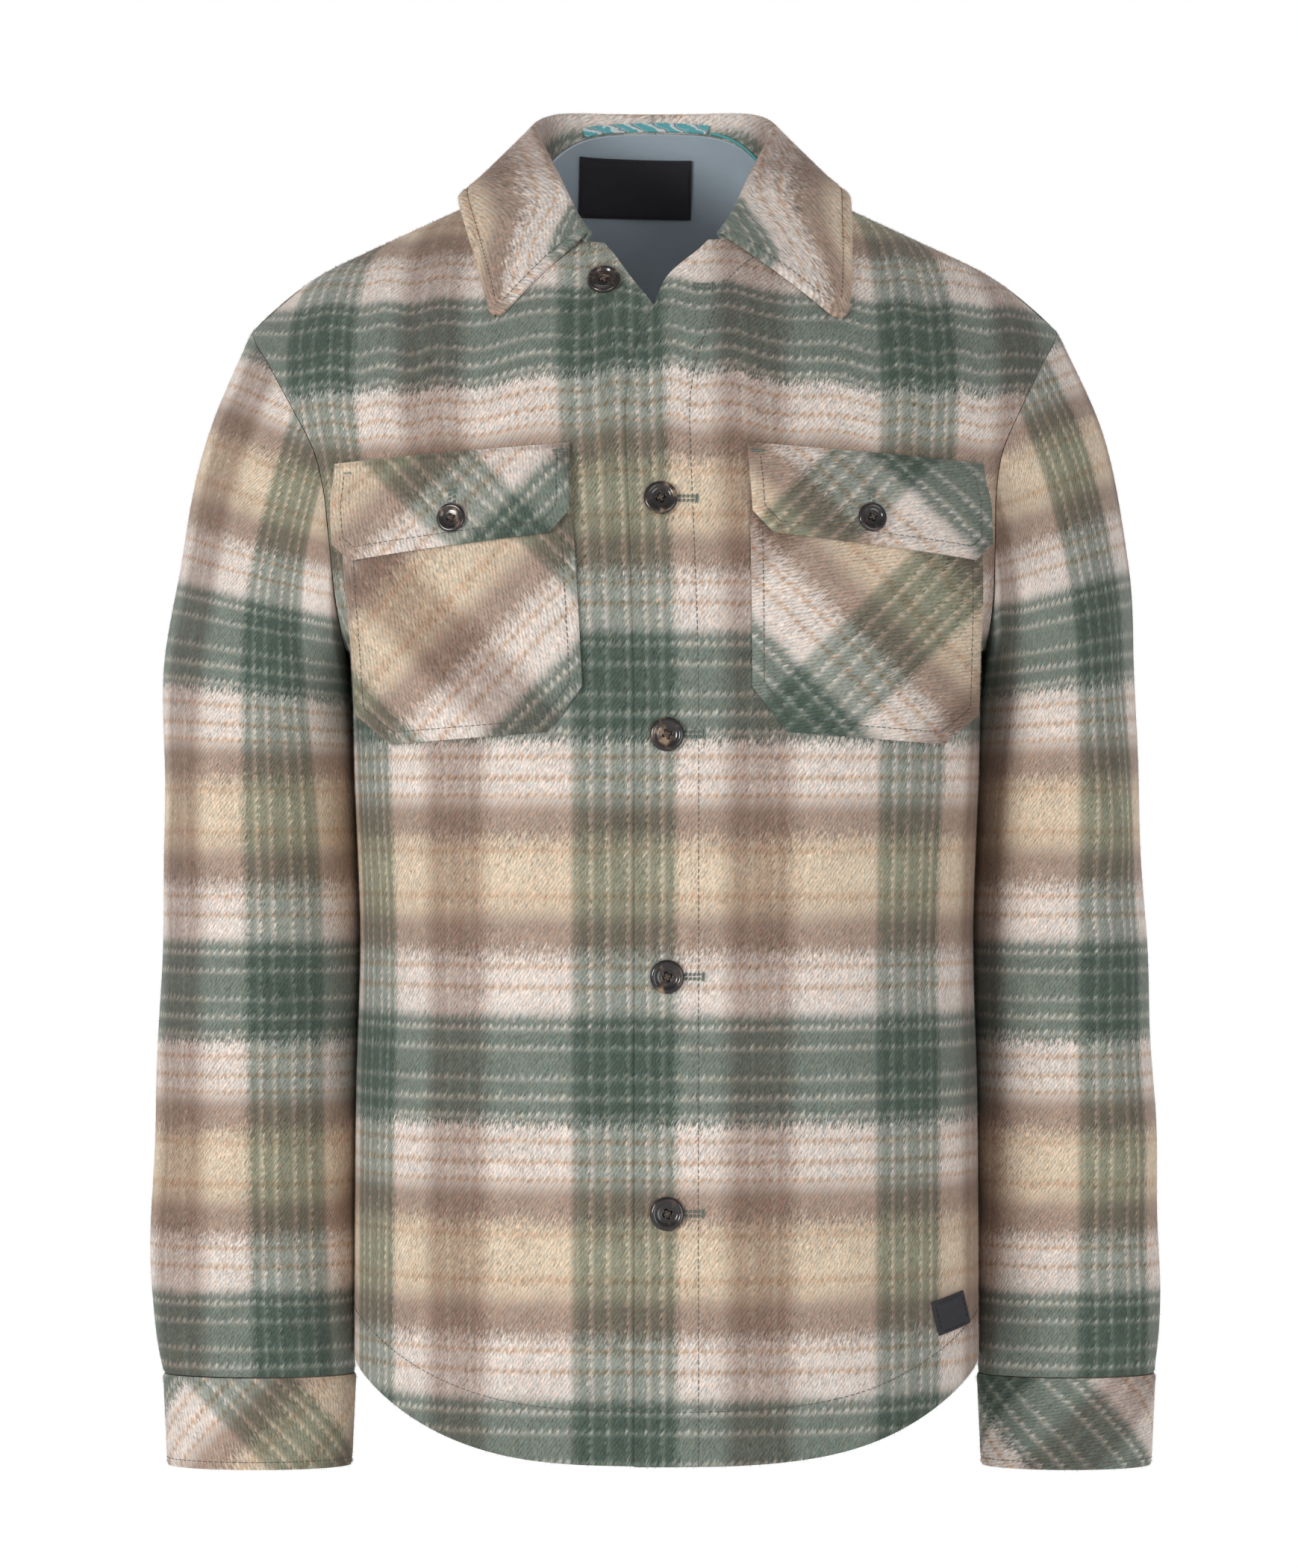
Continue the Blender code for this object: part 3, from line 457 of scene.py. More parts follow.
check = {
    "bodyPhaseZ": -0.4770,      # a green band of the weft starts here on the body
    "sleevePhaseZ": -0.4374, "sleeveScale": 1.062,
    "greenWarp": 0.050,         # width of the green zone of the warp
    "weftShare": 0.60,          # how much of the colour the weft gives
    "colours": {"green": (0.066, 0.092, 0.073), "cream": (0.665, 0.580, 0.524), "tan": (0.540, 0.402, 0.266),
                "paleTan": (0.620, 0.475, 0.314), "weftBrown": (0.240, 0.156, 0.112),
                "warpBrown": (0.180, 0.122, 0.100), "lineBrown": (0.400, 0.205, 0.100),
                "lineCream": (0.430, 0.415, 0.360)},
    # where each broad band starts, as a share of the repeat, its colour and half its blur
    "weftBands": [(0.014, "green", 0.014), (0.298, "cream", 0.015), (0.460, "weftBrown", 0.022),
                  (0.554, "tan", 0.024), (0.600, "paleTan", 0.026), (0.690, "tan", 0.022),
                  (0.756, "weftBrown", 0.022), (0.854, "cream", 0.024)],
    "warpBands": [(0.012, "green", 0.012), (0.303, "cream", 0.015), (0.475, "warpBrown", 0.034),
                  (0.702, "cream", 0.036)],
    # colour of some fine lines, then the middle, half width and strength of each; a ramp holds 32 stops
    "weftCreamLines": ("lineCream", [(0.047, 0.012, 0.60), (0.099, 0.011, 0.50), (0.178, 0.011, 0.45),
                                     (0.229, 0.012, 0.55), (0.275, 0.011, 0.55)]),
    "weftBrownLines": ("lineBrown", [(0.341, 0.011, 0.62), (0.395, 0.011, 0.66), (0.442, 0.010, 0.62),
                                     (0.585, 0.013, 0.45), (0.703, 0.014, 0.50), (0.886, 0.011, 0.64),
                                     (0.940, 0.011, 0.62)]),
    "warpLines": ("lineCream", [(0.030, 0.010, 0.35), (0.077, 0.013, 0.80), (0.135, 0.013, 0.72),
                                (0.205, 0.012, 0.75), (0.255, 0.013, 0.80), (0.296, 0.010, 0.35),
                                (0.560, 0.012, 0.35), (0.640, 0.012, 0.35)]),
    "toothPitch": 0.0048, "toothWeft": 0.0008, "toothWarp": 0.0004, "fray": 0.0085, "rib": 0.0024,
}


def shareOf(name, power, alpha=1.0):
    return tuple(c ** power for c in check["colours"][name]) + (alpha,)


def bandStops(bands, power):
    stops = []
    for (start, name, blur), before in zip(bands, bands[-1:] + bands[:-1]):
        stops += [(start - blur, shareOf(before[1], power)), (start + blur, shareOf(name, power))]
    return stops


def lineStops(lines, power):
    name, rows = lines
    stops = []
    for middle, reach, strength in rows:
        stops += [(middle + way * reach, shareOf(name, power, 0.0 if way else strength))
                  for way in (-1, 0, 1)]
    return stops


# colour of the brushed check at a place in metres of cloth: weft^0.6 * warp^0.4, with toothed edges
def makeCheckGroup():
    group, n, entry, leave = makeGroup("brushed check", {"Place": "Vector"},
                                       {"Color": "Color", "Height": "Float"})
    u, v = n.split(entry["Place"])[:2]
    lean = n.scaled(v, 0.30, u)   # fibres lie down the cloth and lean a little

    def hairs(across, down, layer, detail, roughness):
        return n.noise(n.vector(n.times(lean, across), n.times(v, down), layer), 1.0, detail, roughness)

    fibre, clump = hairs(1900.0, 430.0, 0.0, 2.0, 0.6), hairs(1000.0, 235.0, 3.7, 2.0, 0.6)
    tint = hairs(900.0, 230.0, 17.3, 1.0, 0.5)
    mottle = n.noise(n.vector(u, v, 9.1), 75.0)
    # a saw along each stripe's edge, one tooth for each rib of the twill
    half, fray = check["toothPitch"] / 2, check["fray"]
    weftTooth, warpTooth = (n.math("PINGPONG", n.scaled(a, 0.5, b), half) for a, b in ((v, u), (u, v)))
    weftEdge, warpEdge = (n.plus(place, n.scaled(tooth, 2 * check[size] / half, -check[size]))
                          for place, tooth, size in ((v, weftTooth, "toothWeft"),
                                                     (n.math("ABSOLUTE", u), warpTooth, "toothWarp")))
    clumpPush = n.scaled(clump, 2 * fray, -fray)
    push = n.plus(clumpPush, n.scaled(fibre, fray * 1.2, -fray * 0.6))   # hairs carry colour along
    weft, weftFine, warp = (n.math("FRACT", n.math("DIVIDE", place, cloth[repeat])) for place, repeat in (
        (n.plus(weftEdge, push), "weftRepeat"), (n.plus(weftEdge, n.times(clumpPush, 0.35)), "weftRepeat"),
        (n.plus(warpEdge, n.times(push, 0.30)), "warpRepeat")))
    share = check["weftShare"]
    colours = []
    for bands, place, power, dash, fine, groups in (
            ("weftBands", weft, share, n.scaled(weftTooth, 1.5 / half, 0.35), weftFine,
             ("weftCreamLines", "weftBrownLines")),
            ("warpBands", warp, 1 - share, n.scaled(warpTooth, 1.1 / half, 0.50), warp, ("warpLines",))):
        colour = n.ramp(place, bandStops(check[bands], power))[0]
        for lines in groups:
            line = n.ramp(fine, lineStops(check[lines], power))
            colour = n.mix(n.times(line[1], dash), colour, line[0])
        colours.append(colour)
    colour = n.mix(1.0, *colours, "MULTIPLY")
    # twill ribs and single fibres lighten and darken it
    slant = n.plus(n.scaled(v, 0.75, u), n.times(clump, 0.0012))
    rib = n.math("SINE", n.times(slant, 2 * math.pi / check["rib"]))
    shade = n.plus(n.scaled(fibre, 1.40, 0.300), n.times(rib, 0.110), n.scaled(clump, 1.20, -0.60),
                   n.scaled(mottle, 0.34, -0.17))
    warm = n.mix(n.spread(tint, 0.35, 0.65, 0.0, 1.0), (0.93, 1.0, 1.03, 1.0), (1.05, 0.99, 0.95, 1.0))
    height = n.plus(n.times(fibre, 0.55), n.times(clump, 0.45), n.times(rib, 0.06))
    n.give(leave, {"Color": n.mix(1.0, n.shade(colour, shade), warm, "MULTIPLY"), "Height": height})
    return group


# fine crossed threads: sine of u times sine of v, with a slow unevenness
def makeWeaveGroup():
    group, n, entry, leave = makeGroup("fine weave", {"Place": "Vector", "Pitch": "Float", "Slant": "Float"},
                                       {"Mask": "Float", "Uneven": "Float"})
    u, v = n.split(entry["Place"])[:2]
    turn = n.math("DIVIDE", 2 * math.pi, entry["Pitch"])
    across = n.math("SINE", n.times(n.plus(u, n.times(v, entry["Slant"])), turn))
    down = n.math("SINE", n.times(v, turn))
    n.give(leave, {"Mask": n.scaled(n.plus(across, down), 0.25, 0.5),
                   "Uneven": n.noise(n.vector(n.times(u, 0.4), v), 260.0, 3.0, 0.6)})
    return group


# a material, its node tree and its shader, with the plain values of the surface set
def newMaterial(name, values):
    look = bpy.data.materials.new(name)
    look.use_nodes = True
    n = Nodes(look.node_tree)
    shader = look.node_tree.nodes["Principled BSDF"]
    n.give(shader, values)
    return look, n, shader


def clothPlace(n):
    return n.add("UVMap", uv_map="cloth").outputs[0]


def objectPlace(n):
    return n.add("TexCoord").outputs["Object"]


def checkMaterial(name, group):
    look, n, shader = newMaterial(name, {
        "Roughness": 0.95, "Specular IOR Level": 0.15, "Sheen Weight": 0.10, "Sheen Roughness": 0.55,
        "Sheen Tint": (0.95, 0.92, 0.88, 1.0)})
    made = n.give(n.add("Group", node_tree=group), {"Place": clothPlace(n)})
    n.give(shader, {"Base Color": made["Color"], "Normal": n.bump(made["Height"], 0.0010, 0.55)})
    return look


def weaveMaterial(name, group, dark, light, weave, roughness, bumpDistance, sheen=0.0):
    look, n, shader = newMaterial(name, {"Sheen Weight": sheen})
    made = n.give(n.add("Group", node_tree=group),
                  {"Place": clothPlace(n), "Pitch": weave[0], "Slant": weave[1]})
    share = n.scaled(made["Mask"], 0.6, n.times(made["Uneven"], 0.4))
    n.give(shader, {"Base Color": n.mix(share, (*dark, 1), (*light, 1)),
                    "Roughness": n.spread(made["Uneven"], 0.3, 0.7, roughness - 0.07, roughness + 0.07),
                    "Normal": n.bump(made["Mask"], bumpDistance, 0.5)})
    return look


# dark horn: slow brown clouds and thin paler streaks under a polish
def hornMaterial():
    look, n, shader = newMaterial("polished dark horn", {"Coat Weight": 0.5, "Coat Roughness": 0.12})
    place = objectPlace(n)
    cloud = n.noise(place, 130.0, 3.0, 0.6)
    stretched = n.give(n.add("Mapping"), {"Vector": place, "Rotation": (0.2, 0.5, 0.6),
                                          "Scale": (140.0, 700.0, 700.0)})[0]
    streak = n.noise(stretched, 1.0)
    colour = n.ramp(cloud, [(0.38, (0.006, 0.004, 0.004, 1)), (0.54, (0.017, 0.010, 0.008, 1)),
                            (0.61, (0.085, 0.052, 0.034, 1)), (0.70, (0.260, 0.180, 0.115, 1))])[0]
    colour = n.mix(n.spread(streak, 0.60, 0.76, 0.0, 0.4), colour, (0.055, 0.034, 0.026, 1))
    n.give(shader, {"Base Color": colour, "Roughness": n.spread(streak, 0.3, 0.7, 0.14, 0.24)})
    return look


# sewing thread: two plies wound round each other
def threadMaterial(name, colour):
    look, n, shader = newMaterial(name, {"Roughness": 0.8})
    ply = n.noise(objectPlace(n), 2600.0, 2.0, 0.6)
    dark = tuple(c * 0.62 for c in colour)
    n.give(shader, {"Base Color": n.mix(n.spread(ply, 0.35, 0.65, 0.0, 1.0), (*dark, 1), (*colour, 1)),
                    "Normal": n.bump(ply, 0.0002)})
    return look


# narrow woven tape: slanting teal, white and grey strokes of uneven width
def tapeMaterial(weave):
    look, n, shader = newMaterial("striped neck tape", {})
    place = clothPlace(n)
    u, v = n.split(place)[:2]
    wander = n.noise(n.vector(n.times(u, 90.0), n.times(v, 160.0)), 1.0)
    run = n.plus(n.times(n.scaled(v, 1.3, u), 78.0), n.times(wander, 1.5))
    colour = n.ramp(n.math("FRACT", run), [
        (0.0, (0.10, 0.42, 0.45, 1)), (0.36, (0.12, 0.46, 0.49, 1)), (0.42, (0.72, 0.78, 0.78, 1)),
        (0.60, (0.66, 0.72, 0.72, 1)), (0.66, (0.24, 0.28, 0.30, 1)), (0.76, (0.22, 0.26, 0.29, 1)),
        (0.82, (0.30, 0.60, 0.62, 1)), (1.0, (0.10, 0.42, 0.45, 1))])[0]
    made = n.give(n.add("Group", node_tree=weave), {"Place": place, "Pitch": 0.0005})
    n.give(shader, {"Base Color": n.shade(colour, n.spread(made["Mask"], 0.0, 1.0, 0.82, 1.08)),
                    "Roughness": n.spread(made["Uneven"], 0.3, 0.7, 0.5, 0.66),
                    "Normal": n.bump(made["Mask"], 0.0002)})
    return look


wool = checkMaterial("brushed wool check", makeCheckGroup())
weaveGroup = makeWeaveGroup()
# the lining's two colours are lighter than its own grey blue: painted light that lifts the shade inside the
# neck opening
liningWithPaintedLight = weaveMaterial("grey blue lining", weaveGroup, (0.350, 0.425, 0.480), (0.490, 0.580, 0.655),
                           (0.0007, 1.0), 0.55, 0.0001, 0.2)
labelLook = weaveMaterial("black woven label", weaveGroup, (0.015, 0.014, 0.018), (0.038, 0.036, 0.043),
                          (0.0006, 0.0), 0.75, 0.0002)
pipingLook = weaveMaterial("teal piping", weaveGroup, (0.05, 0.28, 0.29), (0.09, 0.42, 0.43),
                           (0.0007, 1.0), 0.6, 0.0002)
tapeLook = tapeMaterial(weaveGroup)
horn = hornMaterial()
greenThread = threadMaterial("grey green thread", (0.20, 0.255, 0.215))
brownThread = threadMaterial("brown thread", (0.13, 0.095, 0.072))
blackThread = threadMaterial("black thread", (0.02, 0.02, 0.022))
seamThread = threadMaterial("seam thread", (0.15, 0.14, 0.12))
print("materials ready")


# ---- threads

# a tube round a path: the path plus radius times two normals turned through a circle
def tube(path, radius, sides=8):
    path = np.asarray(path)
    run = unit(np.gradient(path, axis=0))
    guide = np.where(np.abs(run[:, 2:3]) > 0.9, np.array([1.0, 0, 0]), np.array([0, 0, 1.0]))
    first = unit(np.cross(run, guide))
    second = np.cross(run, first)
    angle = np.linspace(0, 2 * math.pi, sides, endpoint=False)
    radius = np.broadcast_to(radius, len(path))[:, None, None]
    return path[:, None] + radius * (first[:, None] * np.cos(angle)[None, :, None]
                                     + second[:, None] * np.sin(angle)[None, :, None])


# many tubes in one mesh, each closed by rings that shrink to a point at both ends
def tubes(name, paths, radius, look, sides=6):
    points, faces, count = [], [], 0
    for path in paths:
        path = np.asarray(path)
        size = np.full(len(path), radius)
        size[0] = size[-1] = radius * 0.15
        points.append(tube(path, size, sides).reshape(-1, 3))
        faces.append(ringFaces(len(path), sides) + count)
        count += len(points[-1])
    points, faces = np.concatenate(points), np.concatenate(faces)
    return meshPiece(name, points, faces[:, ::-1], None, look, sharp=0)


# points and normals where a field crosses a level, once on each row (or column) of a grid
def crossing(grid, normal, field, level, down=False, last=False):
    if down:
        grid, normal, field = np.swapaxes(grid, 0, 1), np.swapaxes(normal, 0, 1), field.T
    above = field > level
    change = above[:, 1:] != above[:, :-1]
    spot = change.shape[1] - 1 - np.argmax(change[:, ::-1], axis=1) if last else np.argmax(change, axis=1)
    line = np.flatnonzero(change.any(axis=1))
    spot = spot[line]
    before, after = field[line, spot], field[line, spot + 1]
    share = ((level - before) / (after - before))[:, None]
    return grid[line, spot] * (1 - share) + grid[line, spot + 1] * share, normal[line, spot]


thread = {"pitch": 0.0036, "length": 0.0029, "rise": 0.0003, "radius": 0.00022}


def readPath(place, run, values):
    return np.stack([np.interp(place, run, values[:, i]) for i in range(3)], axis=-1)


# one short path for each stitch: even steps along the line, raised by half a sine
def stitchPaths(line):
    path, normal = line
    run, pitch, length = lengthAlong(path), thread["pitch"], thread["length"]
    share = np.linspace(0, 1, 6)
    place = np.arange(pitch / 2, run[-1] - length, pitch)[:, None] + share * length
    points, out = readPath(place, run, path), readPath(place, run, normal)
    return list(points + out * (thread["rise"] * np.sin(math.pi * share))[:, None])


def stitch(name, lines, look=seamThread):
    paths = [path for line in lines for path in stitchPaths(line)]
    placed(tubes(name, paths, thread["radius"], look, 5))


# lengths in metres; lean and its spread, low and high are angles along and off the cloth
nap = {"short": 0.0013, "long": 0.0030, "width": 0.00009, "lean": 0.15, "spread": 0.50,
       "low": 0.10, "high": 0.65, "root": 0.0002}


# short hairs, one triangle each, more of them near rims and where the cloth turns from the front view
def brush(name, slot, grid, normal, place, count):
    rng = np.random.default_rng(len(name) * 7919 + count)
    rows, columns = grid.shape[0] - 1, grid.shape[1] - 1
    weight = cellAreas(grid) * (0.4 + 2.6 * (1 - np.abs(normal[:-1, :-1, 1])) ** 2)
    weight[:2] *= 4
    weight[-2:] *= 4
    pick = rng.choice(rows * columns, count, p=(weight / weight.sum()).reshape(-1))
    row, column = pick // columns, pick % columns
    s, t = rng.random((2, count, 1))

    def blend(values):
        upper, lower = (values[line, column] * (1 - s) + values[line, column + 1] * s
                        for line in (row, row + 1))
        return upper * (1 - t) + lower * t

    out = normal[row, column]
    down = unit(grid[row + 1, column] - grid[row, column])
    across = np.cross(out, down)
    turn = rng.normal(nap["lean"], nap["spread"], (count, 1))
    rise = rng.uniform(nap["low"], nap["high"], (count, 1))
    way = (down * np.cos(turn) + across * np.sin(turn)) * np.cos(rise) + out * np.sin(rise)
    half = unit(np.cross(way, out)) * nap["width"]
    root = blend(grid) - out * nap["root"]
    tip = root + way * rng.uniform(nap["short"], nap["long"], (count, 1))
    points = np.stack([root - half, root + half, tip], axis=1).reshape(-1, 3)
    uv = np.repeat(blend(place), 3, axis=0)
    placed(meshPiece(name, points, np.arange(3 * count).reshape(-1, 3), uv, wool, sharp=0), slot)


# a piece cut from the check: its wall in the place of its node, and its nap
def cutPiece(node, slot, outer, inner, normal, uv, hairs, closed=False):
    piece = clothWall(node + "_cloth", outer, inner, uv, wool, closed)
    placed(piece, slot, node)
    brush(node + "_nap", slot, outer, normal, uv, hairs)


# ---- fronts and back

panels = {
    "upperRows": 84, "edgeColumns": 40, "sideColumns": 46, "backColumns": 60,
    "hemStitch": 0.031, "placketStitch": 0.036,
    # arc from the centre line to a green stripe's outer edge, as the cloth was cut
    "greenEnd": {"left": 0.0055, "right": 0.0555}, "backGreenEnd": 0.0700,
    "frontHairs": 34000, "backHairs": 20000,
    "chestFrom": -0.25, "chestSpan": 0.14, "wave": 0.0020, "rise": 0.0125, "spread": 0.010,
}


def panelRows():
    upper = (1 - np.cos(np.linspace(0, math.pi, panels["upperRows"] + 1))) / 2
    lower = np.concatenate([np.linspace(0, 0.915, 112)[1:], np.linspace(0.915, 0.945, 14)[1:],
                            np.linspace(0.945, 1, 11)[1:]])
    return upper, lower


# columns every 1.6 mm near the front edge and every 4 mm further out
def frontColumns():
    reach = np.concatenate([np.linspace(0, 0.30, panels["edgeColumns"]),
                            np.linspace(0.30, 1, panels["sideColumns"] + 1)[1:]])
    low = reach ** (body["columnPower"] / 2)
    mixed = np.arcsin(np.clip(low, 0, 1)) * 2 / math.pi
    return mixed / mixed[-1]


# the left front's band lies on the right front's, and each turns back to its own level beside it
def bandShift(x, z, side):
    return ease((0.055 - np.abs(x - centreLine(z))) / 0.03)[..., None] * side * cloth["bandStep"]


def buildFront(name, side):
    upper, lower = panelRows()
    x, z, aboveHem, fromEdge = panelGrid(side, False, frontColumns(), upper, lower)
    outer = bodyPoint(x, z)
    normal = gridNormals(outer, -side)
    outer = outer + normal * bandShift(x, z, side)
    relief = groove(aboveHem, panels["hemStitch"])
    if side > 0:
        relief = relief + groove(fromEdge, panels["placketStitch"], 0.0006)
    relief = relief - worn(fromEdge, 0.0005, 0.002) - worn(aboveHem, 0.0005, 0.002)
    inner = outer - normal * cloth["wall"]
    outer = outer + normal * relief[..., None]
    across = arcAcross(x, z, False) * np.sign((x - centreLine(z)) * side)
    high = ease((z - panels["chestFrom"]) / panels["chestSpan"])
    wave = high * (panels["wave"] * np.sin(x * 150 + 1.5 * np.sin(x * 40))
                   - panels["rise"] * ease(np.abs(x) / 0.14))
    width = across - panels["greenEnd"][name] + (check["greenWarp"] if side > 0 else 0)
    width = width - panels["spread"] * high * ease(across / 0.17)
    uv = joined(width * side + 3 * cloth["warpRepeat"], arcDown(z, False) + wave)
    cutPiece("front_" + name, "wool_check", outer, inner, normal, uv, panels["frontHairs"])
    lines = [crossing(outer, normal, aboveHem, panels["hemStitch"], down=True)]
    if side > 0:
        lines.append(crossing(outer, normal, fromEdge, panels["placketStitch"]))
    stitch("front_%s_stitches" % name, lines)


def buildBack():
    upper, lower = panelRows()
    columns = np.linspace(0, 1, panels["backColumns"])
    halves = [panelGrid(side, True, columns, upper, lower) for side in (-1, 1)]
    x, z, aboveHem = (np.concatenate([a[:, ::-1], b[:, 1:]], axis=1) for a, b in list(zip(*halves))[:3])
    outer = bodyPoint(x, z, True)
    normal = gridNormals(outer)
    inner = outer - normal * cloth["wall"]
    outer = outer + normal * groove(aboveHem, panels["hemStitch"])[..., None]
    across = arcAcross(x, z, True) * np.sign(x - centreLine(z))
    uv = joined(across + panels["backGreenEnd"] + 2 * cloth["warpRepeat"], arcDown(z, True))
    cutPiece("back", "wool_check", outer, inner, normal, uv, panels["backHairs"])
    line = crossing(outer, normal, aboveHem, panels["hemStitch"], down=True)
    stitch("back_stitches", [line])


for name, side in handed.items():
    buildFront(name, side)
buildBack()
print("fronts and back built")


# ---- sleeves and cuffs

sleeves = {
    "rings": 156, "round": 120, "endZ": -0.6945, "overlap": 0.0006, "hairs": 32000,
    "tilt": 0.50, "pivot": {"left": 0.240, "right": 0.262},   # the check's slant towards the armhole
    "drift": {"left": 0.0, "right": 0.008},                   # and its shift round the sleeve at the wrist
    # t, left outer x, right outer x, front y, rear y
    "table": [(0.00, 0.2375, 0.2375, -0.0830, 0.0830), (0.05, 0.2543, 0.2534, -0.0830, 0.0850),
              (0.12, 0.2694, 0.2697, -0.0820, 0.0850), (0.20, 0.2767, 0.2802, -0.0800, 0.0830),
              (0.30, 0.2820, 0.2895, -0.0740, 0.0800), (0.40, 0.2835, 0.2903, -0.0680, 0.0740),
              (0.50, 0.2863, 0.2894, -0.0640, 0.0660), (0.60, 0.2903, 0.2929, -0.0600, 0.0600),
              (0.70, 0.2931, 0.2947, -0.0570, 0.0540), (0.80, 0.2940, 0.2964, -0.0530, 0.0480),
              (0.90, 0.2949, 0.2958, -0.0470, 0.0420), (0.97, 0.2938, 0.2929, -0.0410, 0.0370),
              (1.00, 0.2925, 0.2895, -0.0370, 0.0340)],
    "greenEnd": {"left": 0.0526, "right": 0.0075},
    "frontCrease": 1.3, "rearCrease": 0.8, "mirrorZ": -0.96,
    # x1, z1, x2, z2, half width, height on the sleeve's front; the rear has them mirrored down
    "creases": {"left": [(0.2184, -0.2048, 0.2011, -0.2354, 0.009, -0.0030),
                         (0.2300, -0.2100, 0.2080, -0.2600, 0.010, 0.0024),
                         (0.2029, -0.2407, 0.1925, -0.2782, 0.008, -0.0030),
                         (0.2700, -0.4300, 0.2250, -0.4750, 0.011, 0.0022),
                         (0.2150, -0.4650, 0.2500, -0.5200, 0.010, -0.0024),
                         (0.2100, -0.5250, 0.2600, -0.5600, 0.011, 0.0020),
                         (0.2650, -0.6200, 0.2200, -0.6600, 0.010, -0.0020),
                         (0.2400, -0.3300, 0.2700, -0.4000, 0.014, 0.0020)],
                "right": [(-0.2332, -0.4526, -0.1857, -0.4699, 0.009, -0.0034),
                          (-0.2400, -0.4700, -0.1900, -0.4880, 0.010, 0.0030),
                          (-0.2289, -0.4915, -0.1900, -0.5001, 0.008, -0.0030),
                          (-0.2246, -0.5174, -0.1857, -0.5303, 0.010, -0.0028),
                          (-0.2100, -0.2100, -0.2040, -0.2800, 0.009, -0.0026),
                          (-0.2700, -0.3000, -0.2500, -0.4000, 0.013, 0.0020),
                          (-0.2600, -0.5800, -0.2200, -0.6300, 0.011, 0.0022),
                          (-0.2150, -0.6200, -0.2500, -0.6700, 0.010, -0.0020)]},
}
cuffs = {"height": 0.0535, "taper": 0.0025, "rows": 26, "stitch": 0.0045, "hairs": 5000,
         "shift": {"left": (-0.3533, -0.0613), "right": (0.4401, 0.0122)}}


# slanted ring at the armhole to a level one at the wrist: centre + half sizes times cos and sin
def sleeveRing(side, t, angle):
    topZ = shoulderRidge(body["shoulderX"], False)
    outerZ = topZ + (sleeves["endZ"] - topZ) * (1 - (1 - t) ** 1.16)
    innerZ = body["armpitZ"] + (sleeves["endZ"] - body["armpitZ"]) * t ** 1.5
    outerX = side * readTable(t, sleeves["table"], 1 if side > 0 else 2)
    innerX = centreLine(innerZ) + side * (readTable(innerZ, body["side"], 1) - sleeves["overlap"])
    front, rear = readTable(t, sleeves["table"], 3), readTable(t, sleeves["table"], 4)
    swing = np.cos(angle)
    x = (outerX + innerX) / 2 + (outerX - innerX) / 2 * swing
    z = (outerZ + innerZ) / 2 + (outerZ - innerZ) / 2 * swing
    y = (front + rear) / 2 + (front - rear) / 2 * np.sin(angle)
    return joined(x, y, z)


# the body's armhole edge at each angle: down the front, then up the back
def armholeLoop(side, angle):
    turn = np.mod(angle, 2 * math.pi) / math.pi
    onBack = turn > 1
    share = np.where(onBack, 2 - turn, turn)
    upper = (1 - np.cos(math.pi * share)) / 2
    topZ = shoulderRidge(body["shoulderX"], False)
    z = topZ * (1 - upper) + body["armpitZ"] * upper
    x = centreLine(z) + side * readTable(z, body["side"], 1)
    y = np.where(onBack, bodyDepth(x, z, True), bodyDepth(x, z, False))
    return joined(x + side * 2 * cloth["seamGap"], y, z)


def tubeNormals(grid):
    normal = np.cross(np.gradient(grid, axis=1), np.gradient(grid, axis=0))
    ends = grid[:, 1] - grid[:, -2]
    normal[:, 0] = normal[:, -1] = np.cross(ends, np.gradient(grid[:, 0], axis=0))
    middle = grid.mean(axis=1, keepdims=True)
    return unit(np.sign(((grid - middle) * normal).sum()) * normal)


def buildSleeve(name, side):
    t = np.linspace(0, 1, sleeves["rings"])[:, None]
    angle = np.linspace(-math.pi, math.pi, sleeves["round"] + 1)[None, :]
    ring = sleeveRing(side, t, angle)
    loop = armholeLoop(side, angle[0])[None]
    grid = ring + (loop - sleeveRing(side, np.zeros((1, 1)), angle)) * (1 - ease(t / 0.22))[..., None]
    normal = tubeNormals(grid)
    facing = np.clip(-normal[..., 1], 0, 1) ** 0.5
    rear = np.clip(normal[..., 1], 0, 1) ** 0.5
    creases = sleeves["creases"][name]
    x, z = grid[..., 0], grid[..., 2]
    push = sleeves["frontCrease"] * foldHeight(x, z, creases) * facing
    push = push + foldHeight(x, sleeves["mirrorZ"] - z, creases) * rear * sleeves["rearCrease"]
    push = push + ripple(x * 1.3 + 0.7 * side, z * 2, 0.0010)
    fade = ease(t / 0.08) * ease((1 - t) / 0.03) * (1 - ease(-side * normal[..., 0] * 1.4))
    inward = -normal
    inward[0] = unit((loop[0].mean(axis=0) - loop[0]) * (0, 1, 1))
    inward[-1, :, 2] = 0
    base = grid + normal * (push * fade)[..., None]
    lip = -0.0004 * (2 - ease(t / 0.006) - ease((1 - t) / 0.006))
    outer = base + normal * lip[..., None]
    inner = base + inward * cloth["wall"]
    run = lengthAlong(np.swapaxes(grid, 0, 1)).T
    front = np.argmin(np.abs(angle[0] - math.pi / 2))
    around = run[:, front:front + 1] - run
    down = (check["sleevePhaseZ"] - z) * check["sleeveScale"]
    tilt = sleeves["tilt"] * ease((z + 0.37) / 0.24)
    down = down - tilt * (sleeves["pivot"][name] - np.abs(x)) * (np.sin(angle) > 0)
    middleX = np.abs(x[:, front])[:, None]
    width = around + (middleX - middleX[len(t) * 2 // 3]) * (1 - 0.3 * t) + sleeves["drift"][name] * t
    width = width + check["greenWarp"] - sleeves["greenEnd"][name] + 3 * cloth["warpRepeat"]
    uv = joined(width * side, down)
    cutPiece("sleeve_" + name, "wool_check", outer, inner, normal, uv,
             sleeves["hairs"], closed=True)


